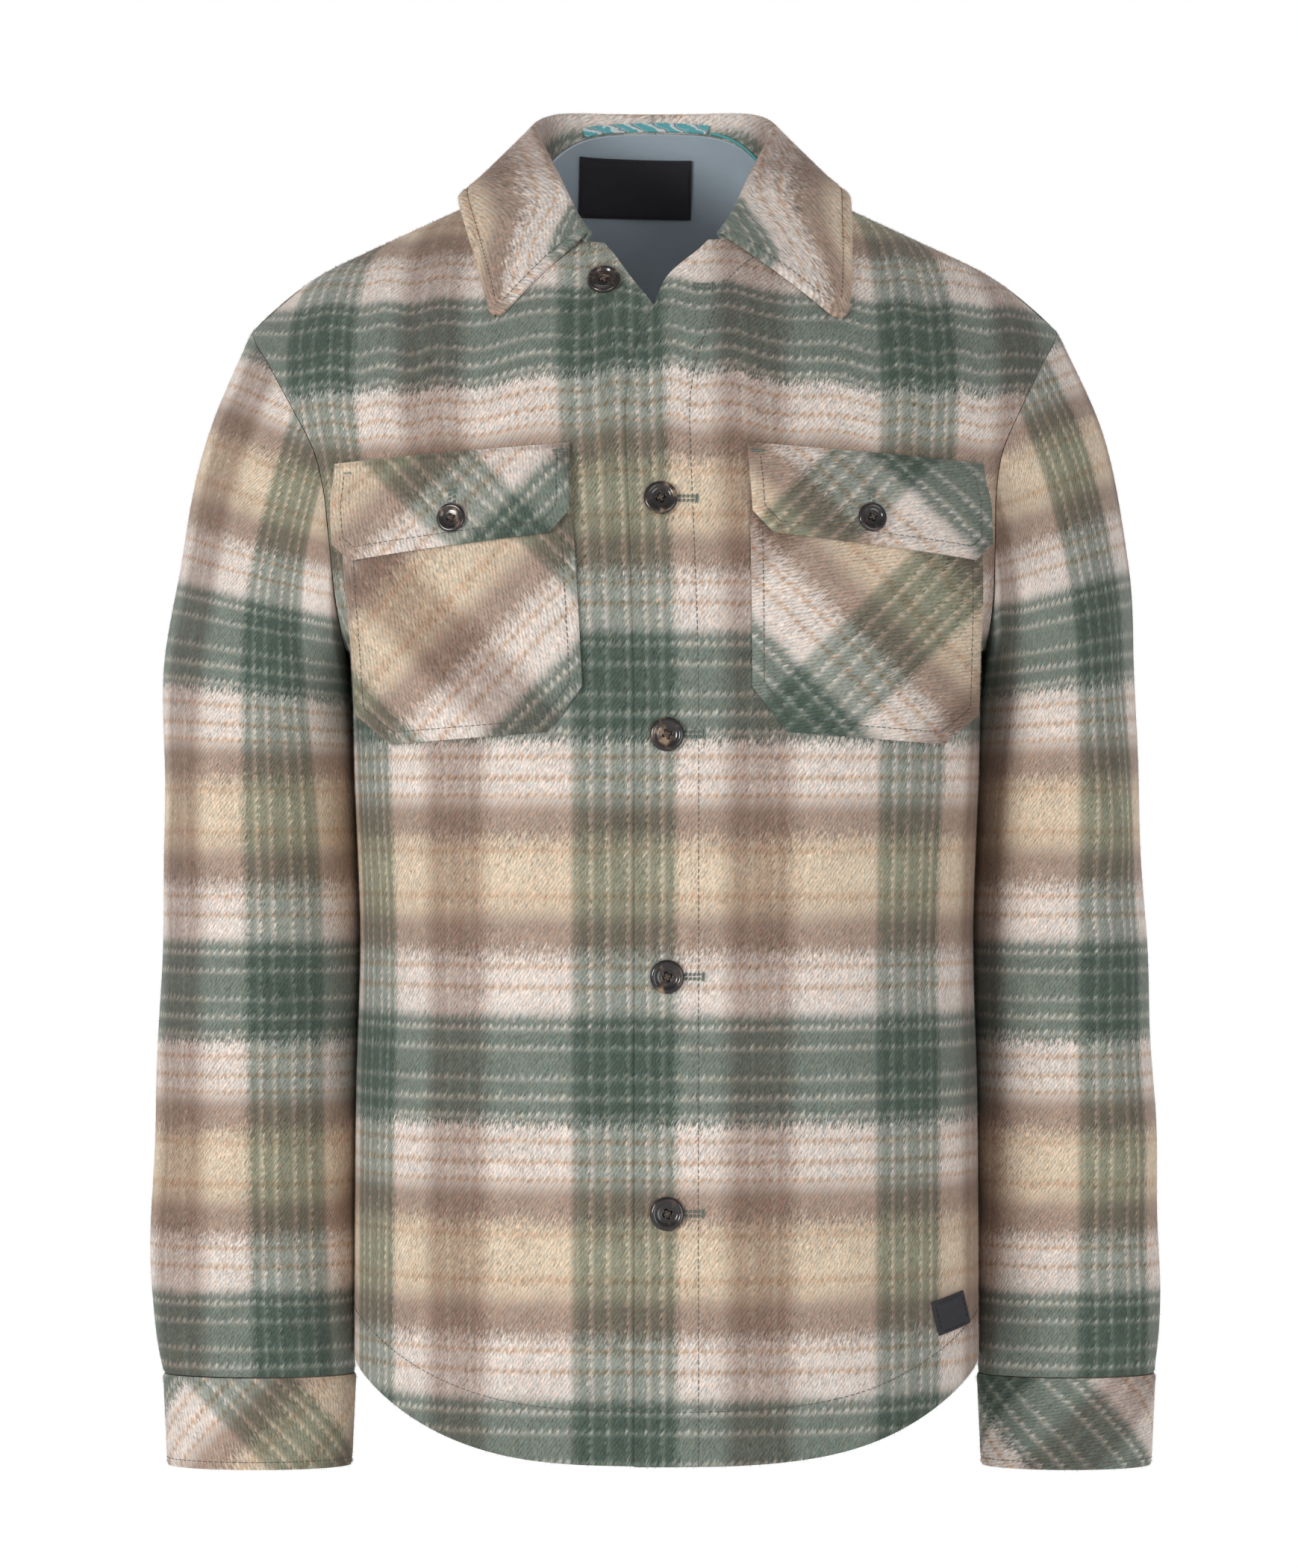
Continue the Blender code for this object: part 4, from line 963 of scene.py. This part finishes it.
# check cut on the bias: places in the front view turned by 45 degrees, the other way on each side
def onBias(x, z, side, shift, turn=1):
    rising = (x - camera["x"] + z - camera["z"]) * math.sqrt(0.5)
    falling = (x - camera["x"] - z + camera["z"]) * math.sqrt(0.5)
    u, v = (falling, -rising) if side > 0 else (rising, falling)
    return joined(turn * u + shift[0] + 6 * cloth["warpRepeat"], turn * v + shift[1])


def buildCuff(name, side):
    angle = np.linspace(-math.pi, math.pi, sleeves["round"] + 1)
    end = sleeveRing(side, np.ones(1), angle)
    middle = end[:-1].mean(axis=0)
    away = unit(end - middle)
    share = np.linspace(0, 1, cuffs["rows"])[:, None]
    grow = cloth["cuffWall"] - cloth["wall"] - cuffs["taper"] * share
    fall = 2 * cloth["seamGap"] + cuffs["height"] * share
    base = end[None] + away[None] * grow[..., None]
    base[..., 2] -= fall
    down = share * cuffs["height"]
    toEdge = cuffs["height"] - down
    relief = groove(toEdge, cuffs["stitch"], 0.0005, 0.0016)
    relief = relief - 0.0008 * (2 - ease(down / 0.0025) - ease(toEdge / 0.0025))
    outer = base + away[None] * relief[..., None]
    inner = base - away[None] * cloth["cuffWall"]
    run = lengthAlong(end)
    around = run[np.argmin(np.abs(angle - math.pi / 2))] - run
    flatX = side * (abs(middle[0]) + around[None, :]) + 0 * down
    uv = onBias(flatX, end[0, 2] - down, side, cuffs["shift"][name])
    normal = np.broadcast_to(away[None], outer.shape)
    cutPiece("cuff_" + name, "bias_check", outer, inner, normal, uv,
             cuffs["hairs"], closed=True)
    line = crossing(outer, normal, np.broadcast_to(toEdge, uv.shape[:2]), cuffs["stitch"], down=True)
    stitch("cuff_%s_stitches" % name, [line])


for name, side in handed.items():
    buildSleeve(name, side)
    buildCuff(name, side)
print("sleeves and cuffs built")


# ---- collar

collar = {
    "columns": 260, "standRows": 12, "bendRows": 9, "leafRows": 46, "stitch": 0.0066, "hairs": 20000,
    "tipPlace": (0.158, 0.172), "runOut": 0.025,
    # seam x, roll x, y, z, edge x, y, z from the back centre to the front end
    "table": [(0.0000, 0.0000, 0.0770, 0.0535, 0.0000, 0.1010, 0.0040),
              (0.0280, 0.0310, 0.0740, 0.0535, 0.0450, 0.0990, 0.0030),
              (0.0520, 0.0600, 0.0570, 0.0510, 0.0870, 0.0800, 0.0020),
              (0.0660, 0.0710, 0.0290, 0.0400, 0.1120, 0.0450, 0.0010),
              (0.0718, 0.0640, -0.0050, 0.0210, 0.1160, 0.0040, -0.0030),
              (0.0690, 0.0550, -0.0340, 0.0005, 0.1130, -0.0350, -0.0240),
              (0.0570, 0.0470, -0.0560, -0.0170, 0.1080, -0.0670, -0.0540),
              (0.0390, 0.0385, -0.0740, -0.0305, 0.1020, -0.0930, -0.0860)],
    "backShare": 4 / 7, "lift": 0.0016, "tipShift": 0.0085, "tipRound": 0.014, "leafBow": 0.0022,
    # how far out from the roll, and down from it, the bend starts and ends
    "rollIn": (0.0036, 0.0030), "rollOut": (0.0044, 0.0026),
}


# the neck edge's inner and outer corners, and where a section stands on it
def neckCorners(side, onBack, seamX):
    across = np.linspace(0, 1 / 3, 60)
    upper, lower = np.array([0.0, 0.004, 0.008]), np.array([0.5, 1.0])
    x, z = panelGrid(side, onBack, np.concatenate([across, [0.6, 1.0]]), upper, lower)[:2]
    grid = bodyPoint(x, z, onBack)
    normal = bodyFrame(x[0], z[0], onBack)[1]
    outer = (grid[0] + unit(grid[0] - grid[1]) * cloth["seamGap"])[:60]
    inner = outer - normal[:60] * cloth["wall"]
    away = np.abs(outer[:, 0] - centreLine(outer[:, 2]))
    return readPath(seamX, away, inner), readPath(seamX, away, outer)


# moves points forward or back where they would sink into the cloth under the leaf
def onTop(point):
    x, y, z = point[..., 0], point[..., 1], point[..., 2]
    back = y > body["ridgeY"]
    level = np.where(back, bodyDepth(x, z, True), bodyDepth(x, z, False))
    room = cloth["collarWall"] + collar["lift"]
    lifted = np.where(back, np.maximum(y, level + room), np.minimum(y, level - room))
    under = z < shoulderRidge(x - centreLine(z), False) - 0.001
    return joined(x, np.where(under, lifted, y), z)


# presses the square corner at each tip onto an arc: each offset times the larger one over their length
def roundTips(face):
    reach = collar["tipRound"]
    for last in (0, face.shape[1] - 1):
        inner = last + (8 if last == 0 else -8)
        outward, downward = unit(face[-1, last] - face[-1, inner]), unit(face[-1, last] - face[-9, last])
        toEnd = np.linalg.norm(face - face[:, last:last + 1], axis=-1)
        toOuter = np.linalg.norm(face - face[-1:], axis=-1)
        a, b = np.clip(reach - toEnd, 0, None), np.clip(reach - toOuter, 0, None)
        press = 1 - np.maximum(a, b) / np.maximum(np.hypot(a, b), 1e-9)
        face = face - (a * press)[..., None] * outward - (b * press)[..., None] * downward
    return face


def buildCollar():
    place = np.linspace(-1, 1, collar["columns"] + 1)
    side = np.where(place < 0, -1.0, 1.0)
    read = [readKnots(np.abs(place), collar["table"], i) for i in range(7)]
    seam, foot = np.zeros((len(place), 3)), np.zeros((len(place), 3))
    for sign in (-1, 1):
        for onBack in (True, False):
            pick = (side == sign) & ((np.abs(place) <= collar["backShare"]) == onBack)
            seam[pick], foot[pick] = neckCorners(sign, onBack, read[0][pick])
    read[4] = read[4] + side * collar["tipShift"] * ease((np.abs(place) - 0.55) / 0.45)
    roll = joined(side * read[1] + centreLine(0.0), read[2], read[3])
    edge = joined(side * read[4] + centreLine(0.0), read[5], read[6])
    out = unit((edge - seam) * (1, 1, 0))
    up = np.array([0, 0, 1.0])
    room = np.minimum(1.0, (roll[:, 2] - seam[:, 2]) / 0.012)[:, None]
    rollIn = roll - out * collar["rollIn"][0] - up * collar["rollIn"][1] * room
    rollOut = roll + out * collar["rollOut"][0] - up * collar["rollOut"][1]
    stand = [seam * (1 - s) + rollIn * s for s in np.linspace(0, 1, collar["standRows"])]
    peak = roll * 2 - rollIn / 2 - rollOut / 2
    bend = [(1 - s) ** 2 * rollIn + 2 * s * (1 - s) * peak + s * s * rollOut
            for s in np.linspace(0, 1, collar["bendRows"])[1:]]
    leaf = []
    for share in np.linspace(0, 1, collar["leafRows"])[1:]:
        point = rollOut + (edge - rollOut) * share
        leaf.append(onTop(point + up * collar["leafBow"] * math.sin(math.pi * share)))
    face = roundTips(np.array(stand + bend + leaf))
    normal = gridNormals(face)
    # the wall is thinner round the bend
    thinRows = np.concatenate([np.linspace(1.0, 0.57, collar["standRows"]),
                               np.linspace(0.57, 0.79, collar["bendRows"])[1:],
                               np.minimum(1.0, np.linspace(0.79, 1.6, collar["leafRows"])[1:])])
    hidden = face - normal * cloth["collarWall"] * thinRows[:, None, None]
    hidden[0] = foot
    fromOuter = lengthAlong(face[::-1])[::-1]
    along = lengthAlong(np.swapaxes(face, 0, 1)).T
    fromEnd = np.minimum(along, along[:, -1:] - along)
    leafStart = len(stand + bend)
    onLeaf = ease((np.arange(len(face)) - leafStart - 1) / 4)[:, None]
    nearest = np.minimum(fromOuter, fromEnd)
    relief = groove(nearest, collar["stitch"], 0.0007, 0.0014) * onLeaf
    relief = relief - worn(nearest, 0.0009, 0.0025)
    face = face + normal * relief[..., None]
    middle = len(place) // 2
    flat = along[-12] - along[-12, middle]
    reach = (np.abs(flat) - np.abs(flat).max())[None, :]
    u = collar["tipPlace"][0] + 0.33 * reach - 0.2 * fromOuter + 4 * cloth["warpRepeat"]
    v = collar["tipPlace"][1] + 0.97 * fromOuter - collar["runOut"] * ease(-reach / 0.08)
    uv = joined(u * np.where(flat < 0, -1, 1), v)
    cutPiece("collar", "bias_check", face, hidden, normal, uv,
             collar["hairs"])
    inside = fromEnd[-1] > collar["stitch"]
    long = [values[leafStart + 4:, inside] for values in (face, normal, fromOuter)]
    short = [values[leafStart + 4:-6] for values in (face, normal, fromEnd)]
    lines = [crossing(*long, collar["stitch"], down=True)]
    lines += [crossing(*short, collar["stitch"], last=last) for last in (False, True)]
    stitch("collar_stitches", lines)
    return face, normal


collarFace, collarNormal = buildCollar()
print("collar built")


# ---- pockets and flaps

patches = {
    "pocket": {"rows": [(-0.1720, 0.0505, -0.1840, 0.1830), (-0.2940, 0.0480, -0.3088, 0.1775),
                        (-0.3196, 0.0675, -0.3262, 0.1560)],
               "lift": (0.0010, 0.0010), "puff": 0.0020, "down": 92, "held": "laid", "hairs": 9000,
               "stitchFrom": 50, "turn": {"left": 1, "right": 1},
               "shift": {"left": (-0.0106, 0.1104), "right": (-0.0434, 0.0878)}},
    "flap": {"rows": [(-0.1558, 0.0500, -0.1656, 0.1850), (-0.1955, 0.0510, -0.2130, 0.1840),
                      (-0.2083, 0.0625, -0.2225, 0.1740)],
             "lift": (0.0009, 0.0062), "puff": 0.0, "down": 46, "held": "hung", "hairs": 7000,
             "stitchFrom": 18, "turn": {"left": -1, "right": 1},
             "shift": {"left": (-0.0124, -0.2178), "right": (-0.0133, 0.1712)}},
    "columns": 84, "sideLift": 0.0008, "stitch": 0.0068,
}


# distance from each point to the nearest side of a closed outline
def outlineDistance(x, z, corners):
    nearest = np.full(x.shape, 1.0)
    for (ax, az), (bx, bz) in zip(corners, corners[1:] + corners[:1]):
        length = (bx - ax) ** 2 + (bz - az) ** 2
        share = np.clip(((x - ax) * (bx - ax) + (z - az) * (bz - az)) / length, 0, 1)
        nearest = np.minimum(nearest, np.hypot(x - ax - share * (bx - ax), z - az - share * (bz - az)))
    return nearest


def frontOuter(x, z, side):
    point, normal = bodyFrame(x, z)
    return point + normal * bandShift(x, z, side), normal


def buildPatch(kind, name, side):
    patch = patches[kind]
    table = patch["rows"]
    knots = (columnOf(table, 0) - table[0][0]) / (table[-1][0] - table[0][0])
    down = np.linspace(0, 1, patch["down"])
    zIn, xIn, zOut, xOut = (np.interp(down, knots, columnOf(table, i))[:, None] for i in range(4))
    across = np.linspace(0, 1, patches["columns"])[None, :]
    z = zIn * (1 - across) + zOut * across
    x = xIn * (1 - across) + xOut * across
    corners = [(row[1], row[0]) for row in table] + [(row[3], row[2]) for row in reversed(table)]
    edge = outlineDistance(x, z, corners)
    frontX = side * x + centreLine(z)
    point, normal = frontOuter(frontX, z, side)
    lift = patch["lift"]
    low = lift[0] + (lift[1] - lift[0]) * ease(down[:, None] / 0.45)
    low = low + patches["sideLift"] * across ** 3
    belly = patch["puff"] * np.sin(math.pi * down)[:, None] * np.sin(math.pi * across)
    relief = groove(edge, patches["stitch"], 0.0006) - worn(edge, 0.0010, 0.0026)
    inner = point + normal * low[..., None]
    outer = point + normal * (low + belly + relief + cloth["patchWall"])[..., None]
    uv = onBias(frontX, z, side, patch["shift"][name], patch["turn"][name])
    node = "%s_%s" % (kind, name)
    cutPiece(node, "bias_check", outer, inner, normal, uv, patch["hairs"])
    clear = down < 1 - patches["stitch"] / abs(table[-1][0] - table[0][0])
    sides = [values[clear] for values in (outer, normal, edge)]
    foot = [values[patch["stitchFrom"]:] for values in (outer, normal, edge)]
    lines = [crossing(*sides, patches["stitch"], last=last) for last in (False, True)]
    lines.append(crossing(*foot, patches["stitch"], down=True, last=True))
    stitch(node + "_stitches", lines)


for name, side in handed.items():
    buildPatch("pocket", name, side)
    buildPatch("flap", name, side)
print("pockets and flaps built")


# ---- lining, labels, tape and piping

def buildLining():
    columns = np.linspace(0, 0.6, 50)
    upper = (1 - np.cos(np.linspace(0, math.pi * 7 / 11, 60))) / 2
    half = np.append(columns, 1.0)
    halves = [panelGrid(side, True, half, upper, np.array([1.0]))[:2] for side in (-1, 1)]
    x, z = (np.concatenate([a[:-1, -2::-1], b[:-1, 1:-1]], axis=1) for a, b in zip(*halves))
    z[0] = z[0] * 0.75 + z[1] * 0.25
    grid = bodyPoint(x, z, True)
    inward = -gridNormals(grid)
    soft = 0.0006 * np.sin(x * 130 + 2 * np.sin(z * 60)) * ease((0.03 - z) / 0.05)
    near = grid + inward * (cloth["wall"] + cloth["seamGap"])
    shown = near + inward * (cloth["liningWall"] + soft)[..., None]
    uv = joined(x, -z)
    piece = clothWall("lining_back_cloth", shown, near, uv, liningWithPaintedLight)
    placed(piece, "lining", "lining_back")


buildLining()

labels = {
    "neck_label": {"x": -0.0120, "z": 0.0115, "width": 0.0700, "height": 0.0345, "turn": -1.0},
    "hem_label": {"x": 0.1625, "z": -0.6525, "width": 0.0200, "height": 0.0200, "turn": 14.0},
}
labelStitch = 0.0016


def buildLabel(name, onBack):
    label = labels[name]
    across = np.linspace(-0.5, 0.5, 40)[None, :] * label["width"]
    down = np.linspace(0.5, -0.5, 24)[:, None] * label["height"]
    turn = math.radians(label["turn"])
    x = label["x"] + across * math.cos(turn) - down * math.sin(turn) + centreLine(label["z"])
    z = label["z"] + across * math.sin(turn) + down * math.cos(turn)
    point, normal = bodyFrame(x, z, onBack)
    if onBack:
        normal = -normal
        point = point + normal * (cloth["wall"] + cloth["seamGap"] + cloth["liningWall"] + 0.0004)
    mean = unit(normal.mean(axis=(0, 1)))
    near = point + mean * 2 * cloth["seamGap"]
    edge = np.minimum(label["width"] / 2 - np.abs(across), label["height"] / 2 - np.abs(down))
    relief = groove(edge, labelStitch, 0.0003, 0.0008) - worn(edge, 0.0004, 0.0012)
    outer = near + mean * (cloth["labelWall"] + relief)[..., None]
    uv = joined(across, -down)
    piece = clothWall(name + "_woven", outer, near, uv, labelLook)
    placed(piece, "black_label", name)
    normal = np.broadcast_to(mean, outer.shape)
    lines = [crossing(outer, normal, edge, labelStitch, down=way, last=last)
             for way in (False, True) for last in (False, True)]
    stitch(name + "_stitches", lines, blackThread)


buildLabel("neck_label", True)
buildLabel("hem_label", False)


# laid along the collar's stand, whose first row is the neck seam
def buildTape():
    low, high = collarFace[0], collarFace[collar["standRows"] - 1]
    middle, width, height = -0.0060, 0.0740, 0.0070
    keep = (np.abs(low[:, 0] - middle) < width / 2) & (low[:, 1] > 0)
    low, high, out = low[keep], high[keep], collarNormal[5, keep]
    reach = height / np.linalg.norm(high - low, axis=-1, keepdims=True)
    share = np.linspace(0.08, 1.0, 12)[:, None, None]
    grid = low + (high - low) * reach * share + out * cloth["seamGap"] * 2
    uv = joined(lengthAlong(low)[None, :], share[..., 0] * height)
    piece = clothWall("hanger_tape_woven", grid + out * cloth["labelWall"], grid, uv, tapeLook)
    placed(piece, "neck_tape", "hanger_tape")


buildTape()


def buildPiping():
    low, out = collarFace[0], collarNormal[3]
    keep = (low[:, 0] > 0.0315) & (low[:, 1] > 0.02)
    path = low[keep] + out[keep] * 0.0010 + np.array([0, 0, 0.0012])
    piece = tubes("neck_piping", [path], 0.0008, pipingLook, 8)
    placed(piece, "neck_tape")


buildPiping()
print("lining, labels and tape built")


# ---- buttons

buttons = {
    "radius": 0.0097, "height": 0.0034, "flapRadius": 0.0085, "seat": 0.0005,
    "rows": [-0.1880, -0.3210, -0.4575, -0.5910], "open": (-0.0290, -0.0600), "flap": (0.1165, -0.1998),
    "holeMiddle": 0.0090, "holeLength": 0.0200, "openHole": (0.0255, -0.0650),
    "holeRing": 0.215, "holeSize": 0.085, "turn": 20, "sides": 44, "faceEnd": 0.60,
    "bar": 0.0022, "endBar": 0.0030, "barStep": 0.0011, "tack": 0.0078, "tackLift": 0.0036,
    # share of the radius, share of the height, from the face's middle to the back's
    "profile": [(0.00, 0.52), (0.30, 0.53), (0.50, 0.58), (0.60, 0.66), (0.68, 0.86), (0.75, 0.98),
                (0.82, 1.00), (0.90, 0.95), (0.96, 0.80), (1.00, 0.58), (0.98, 0.34), (0.88, 0.12),
                (0.70, 0.02), (0.00, 0.00)],
}


# a turned face with four round holes pressed in: height(r) less a deep dip round each hole
def buttonMesh(radius):
    profile = np.array(buttons["profile"])
    length = lengthAlong(profile)
    rim = buttons["faceEnd"]
    place = np.concatenate([np.linspace(0, rim, 26)[1:], np.linspace(rim, length[-1], 30)[1:]])
    r, h = (np.interp(place, length, profile[:, i]) for i in range(2))
    sides = buttons["sides"]
    angle = np.linspace(0, 2 * math.pi, sides, endpoint=False)
    x, y = r[:, None] * np.cos(angle), r[:, None] * np.sin(angle)
    z = np.repeat(h[:, None], sides, axis=1)
    turn = math.radians(buttons["turn"])
    onFace = (place < rim)[:, None]
    for quarter in range(4):
        spin = turn + quarter * math.pi / 2
        away = np.hypot(x - buttons["holeRing"] * math.cos(spin), y - buttons["holeRing"] * math.sin(spin))
        dip = ease((buttons["holeSize"] * 1.25 - away) / (buttons["holeSize"] * 0.5))
        z = z - np.where(onFace, 0.42 * dip, 0)
    height = buttons["height"] / buttons["radius"]
    grid = joined(x, y, z * height) * radius
    top = np.array([[0, 0, profile[0, 1] * height * radius]])
    points = np.concatenate([grid.reshape(-1, 3), top])
    quads = ringFaces(len(grid), sides)[:, [0, 3, 2, 1]]
    around = np.arange(sides)
    cap = joined(np.full(sides, len(points) - 1), around, (around + 1) % sides)
    return points, quads, cap


def threadCross(radius):
    paths = []
    turn = math.radians(buttons["turn"])
    top = 0.60 * buttons["height"] / buttons["radius"]
    for quarter in (0, 1):
        spin = turn + quarter * math.pi / 2
        for shift in (-0.028, 0.028):
            s = np.linspace(-1, 1, 13)
            along = s * buttons["holeRing"] * 1.05
            x = along * math.cos(spin) - shift * math.sin(spin)
            y = along * math.sin(spin) + shift * math.cos(spin)
            z = top + 0.055 * (1 - np.abs(s) ** 3) + 0.02 * quarter - 0.20 * (np.abs(s) > 0.97)
            paths.append(joined(x, y, z) * radius)
    return paths


def placeOn(points, centre, normal):
    normal = Vector(normal).normalized()
    turn = np.array(normal.to_track_quat("Z", "Y").to_matrix())
    return points @ turn.T + np.asarray(centre)


def buildButton(name, centre, normal, radius):
    points, quads, cap = buttonMesh(radius)
    points = placeOn(points, centre, normal)
    mesh = bpy.data.meshes.new(name)
    mesh.from_pydata(points.tolist(), [], quads.tolist() + cap.tolist())
    mesh.materials.append(horn)
    mesh.shade_smooth()
    piece = bpy.data.objects.new(name + "_horn", mesh)
    bpy.context.scene.collection.objects.link(piece)
    placed(piece, "button", name)
    cross = tubes(name + "_thread", [placeOn(path, centre, normal) for path in threadCross(radius)],
                  radius * 0.032, brownThread)
    placed(cross, "button")


def frontButton(name, x, z, lift, radius):
    centreX = np.array(x + centreLine(z))
    point, normal = bodyFrame(centreX, np.array(float(z)))
    buildButton(name, point + normal * (lift + buttons["seat"]), normal, radius)


# thread bars on both sides of a slit with a longer bar at each end, laid at (x, z) in the front view
def buttonhole(name, x, z, length, upright, side, lift):
    step, reach, endReach = buttons["barStep"], buttons["bar"], buttons["endBar"]
    place = np.linspace(-length / 2, length / 2, int(length / step))
    bars = [(p, 0.0003, reach) for p in place] + [(p, -reach, -0.0003) for p in place]
    bars += [(end + away, -endReach, endReach) for end, way in ((place[0], -1), (place[-1], 1))
             for away in (way * 0.0006, way * step)]
    share = np.linspace(0, 1, 6)
    paths = []
    for index, (along, low, high) in enumerate(bars):
        across = low + (high - low) * share
        run = along + 0.00045 * (index % 2) + 0.0005 * share
        placeX, placeZ = (x + across, z + run) if upright else (x + run, z + across)
        point, normal = frontOuter(placeX, placeZ, side)
        paths.append(point + normal * (lift + 0.0002 + 0.0004 * np.sin(math.pi * share))[:, None])
    placed(tubes(name + "_thread", paths, 0.00040, greenThread, 5))


# a short zigzag over a corner
def barTack(name, x, z, length, side, lift):
    share = np.linspace(0, 1, 61)
    zigzag = np.abs(np.mod(share * 15, 2) - 1) * 0.0016 - 0.0008
    point, normal = frontOuter(x + (share - 0.5) * length, z + zigzag, side)
    placed(tubes(name + "_thread", [point + normal * (lift + 0.0002)], 0.00028, greenThread, 5))


for index, row in enumerate(buttons["rows"]):
    x = float(centreLine(row)) + buttons["holeMiddle"]
    buttonhole("buttonhole_%d" % (index + 2), x, row, buttons["holeLength"], False, 1, 0.0)
buttonhole("buttonhole_1", *buttons["openHole"], 0.0095, False, 1, 0.0)
flapTop = patches["flap"]["lift"][1] + cloth["patchWall"]
flapX, flapZ = buttons["flap"]
for name, side in handed.items():
    x = side * flapX + float(centreLine(flapZ))
    buttonhole("flap_buttonhole_" + name, x, flapZ + 0.0095, 0.0100, True, side, flapTop)
    for corner, reach in (("inner", 0.0555), ("outer", 0.1780)):
        z = -0.1608 - 0.085 * (reach - 0.0500)   # the flap's seam falls away from the centre
        x = side * reach + float(centreLine(z))
        barTack("flap_tack_%s_%s" % (corner, name), x, z, buttons["tack"], side, buttons["tackLift"])

frontButton("button_1", *buttons["open"], -cloth["bandStep"], buttons["radius"])
for index, row in enumerate(buttons["rows"]):
    frontButton("button_%d" % (index + 2), 0.0, row, cloth["bandStep"], buttons["radius"])
for name, side in handed.items():
    frontButton("flap_button_" + name, side * flapX, flapZ, flapTop, buttons["flapRadius"])
    low, high = (np.array(corner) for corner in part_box("cuff_button_" + name))
    centre = (low + high) / 2
    centre[1] = low[1] + 0.0006
    buildButton("cuff_button_" + name, centre, (0.12 * side, 1.0, 0.0), buttons["flapRadius"])
print("buttons built")


# ---- stage, light and camera

# place, size, power
lights = {"key": ((-2.0, -2.4, -0.05), 1.0, 44), "fill": ((1.4, -2.7, -0.6), 1.8, 21),
          "top": ((0.0, 0.8, 2.2), 1.6, 8), "rearLeft": ((-1.6, 2.2, 0.9), 1.6, 28),
          "rearRight": ((1.6, 2.2, 0.9), 1.6, 28)}
lightTarget = (0.0, 0.0, -0.35)


def areaLight(name, place, size, power):
    light = bpy.data.lights.new(name, "AREA")
    light.shape = "DISK"
    light.size = size
    light.energy = power
    lamp = bpy.data.objects.new(name, light)
    lamp.location = place
    lamp.rotation_euler = (Vector(lightTarget) - Vector(place)).to_track_quat("-Z", "Y").to_euler()
    bpy.context.scene.collection.objects.link(lamp)


# a round floor below the hem: rings of growing radius
def buildStage():
    angle = np.linspace(0, 2 * math.pi, 96, endpoint=False)
    radii = np.array([0.0005, 0.6, 1.2, 1.75])[:, None]
    level = np.full((4, 96), cadLow[2] - 0.30)
    points = joined(radii * np.cos(angle), radii * np.sin(angle), level)
    quads = ringFaces(4, 96)[:, [0, 3, 2, 1]]
    look, n, shader = newMaterial("pale floor", {"Roughness": 0.8})
    speck = n.noise(objectPlace(n), 40.0, 3.0, 0.5)
    n.give(shader, {"Base Color": n.mix(speck, (0.92, 0.92, 0.92, 1), (0.95, 0.95, 0.95, 1))})
    meshPiece("floor", points.reshape(-1, 3), quads, None, look, sharp=0)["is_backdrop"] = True


def buildWorld():
    world = bpy.data.worlds.new("white studio")
    bpy.context.scene.world = world
    world.use_nodes = True
    world.node_tree.nodes.clear()
    n = Nodes(world.node_tree)
    height = n.split(n.add("TexCoord").outputs["Generated"])[2]
    # light from every side, dimmer from above; the camera sees plain white
    lit = n.give(n.add("Background"), ((0.97, 0.98, 1.0, 1), n.spread(height, -0.1, 0.9, 0.68, 0.30)))[0]
    seen = n.give(n.add("Background"), ((1, 1, 1, 1), 1.0))[0]
    cameraRay = n.add("LightPath").outputs["Is Camera Ray"]
    n.give(n.add("OutputWorld"), n.give(n.add("MixShader"), (cameraRay, lit, seen))[:1])


buildStage()
buildWorld()
for name, values in lights.items():
    areaLight(name, *values)

lens = bpy.data.cameras.new("camera")
lens.sensor_width = camera["sensor"]
lens.lens = camera["distance"] * camera["sensor"] / camera["viewHeight"]
eye = bpy.data.objects.new("camera", lens)
eye.location = (camera["x"], -camera["distance"], camera["z"])
eye.rotation_euler = (math.pi / 2, 0, 0)
bpy.context.scene.collection.objects.link(eye)
bpy.context.scene.camera = eye
bpy.context.scene.view_settings.view_transform = "Standard"

low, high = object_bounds()
print("stage ready")
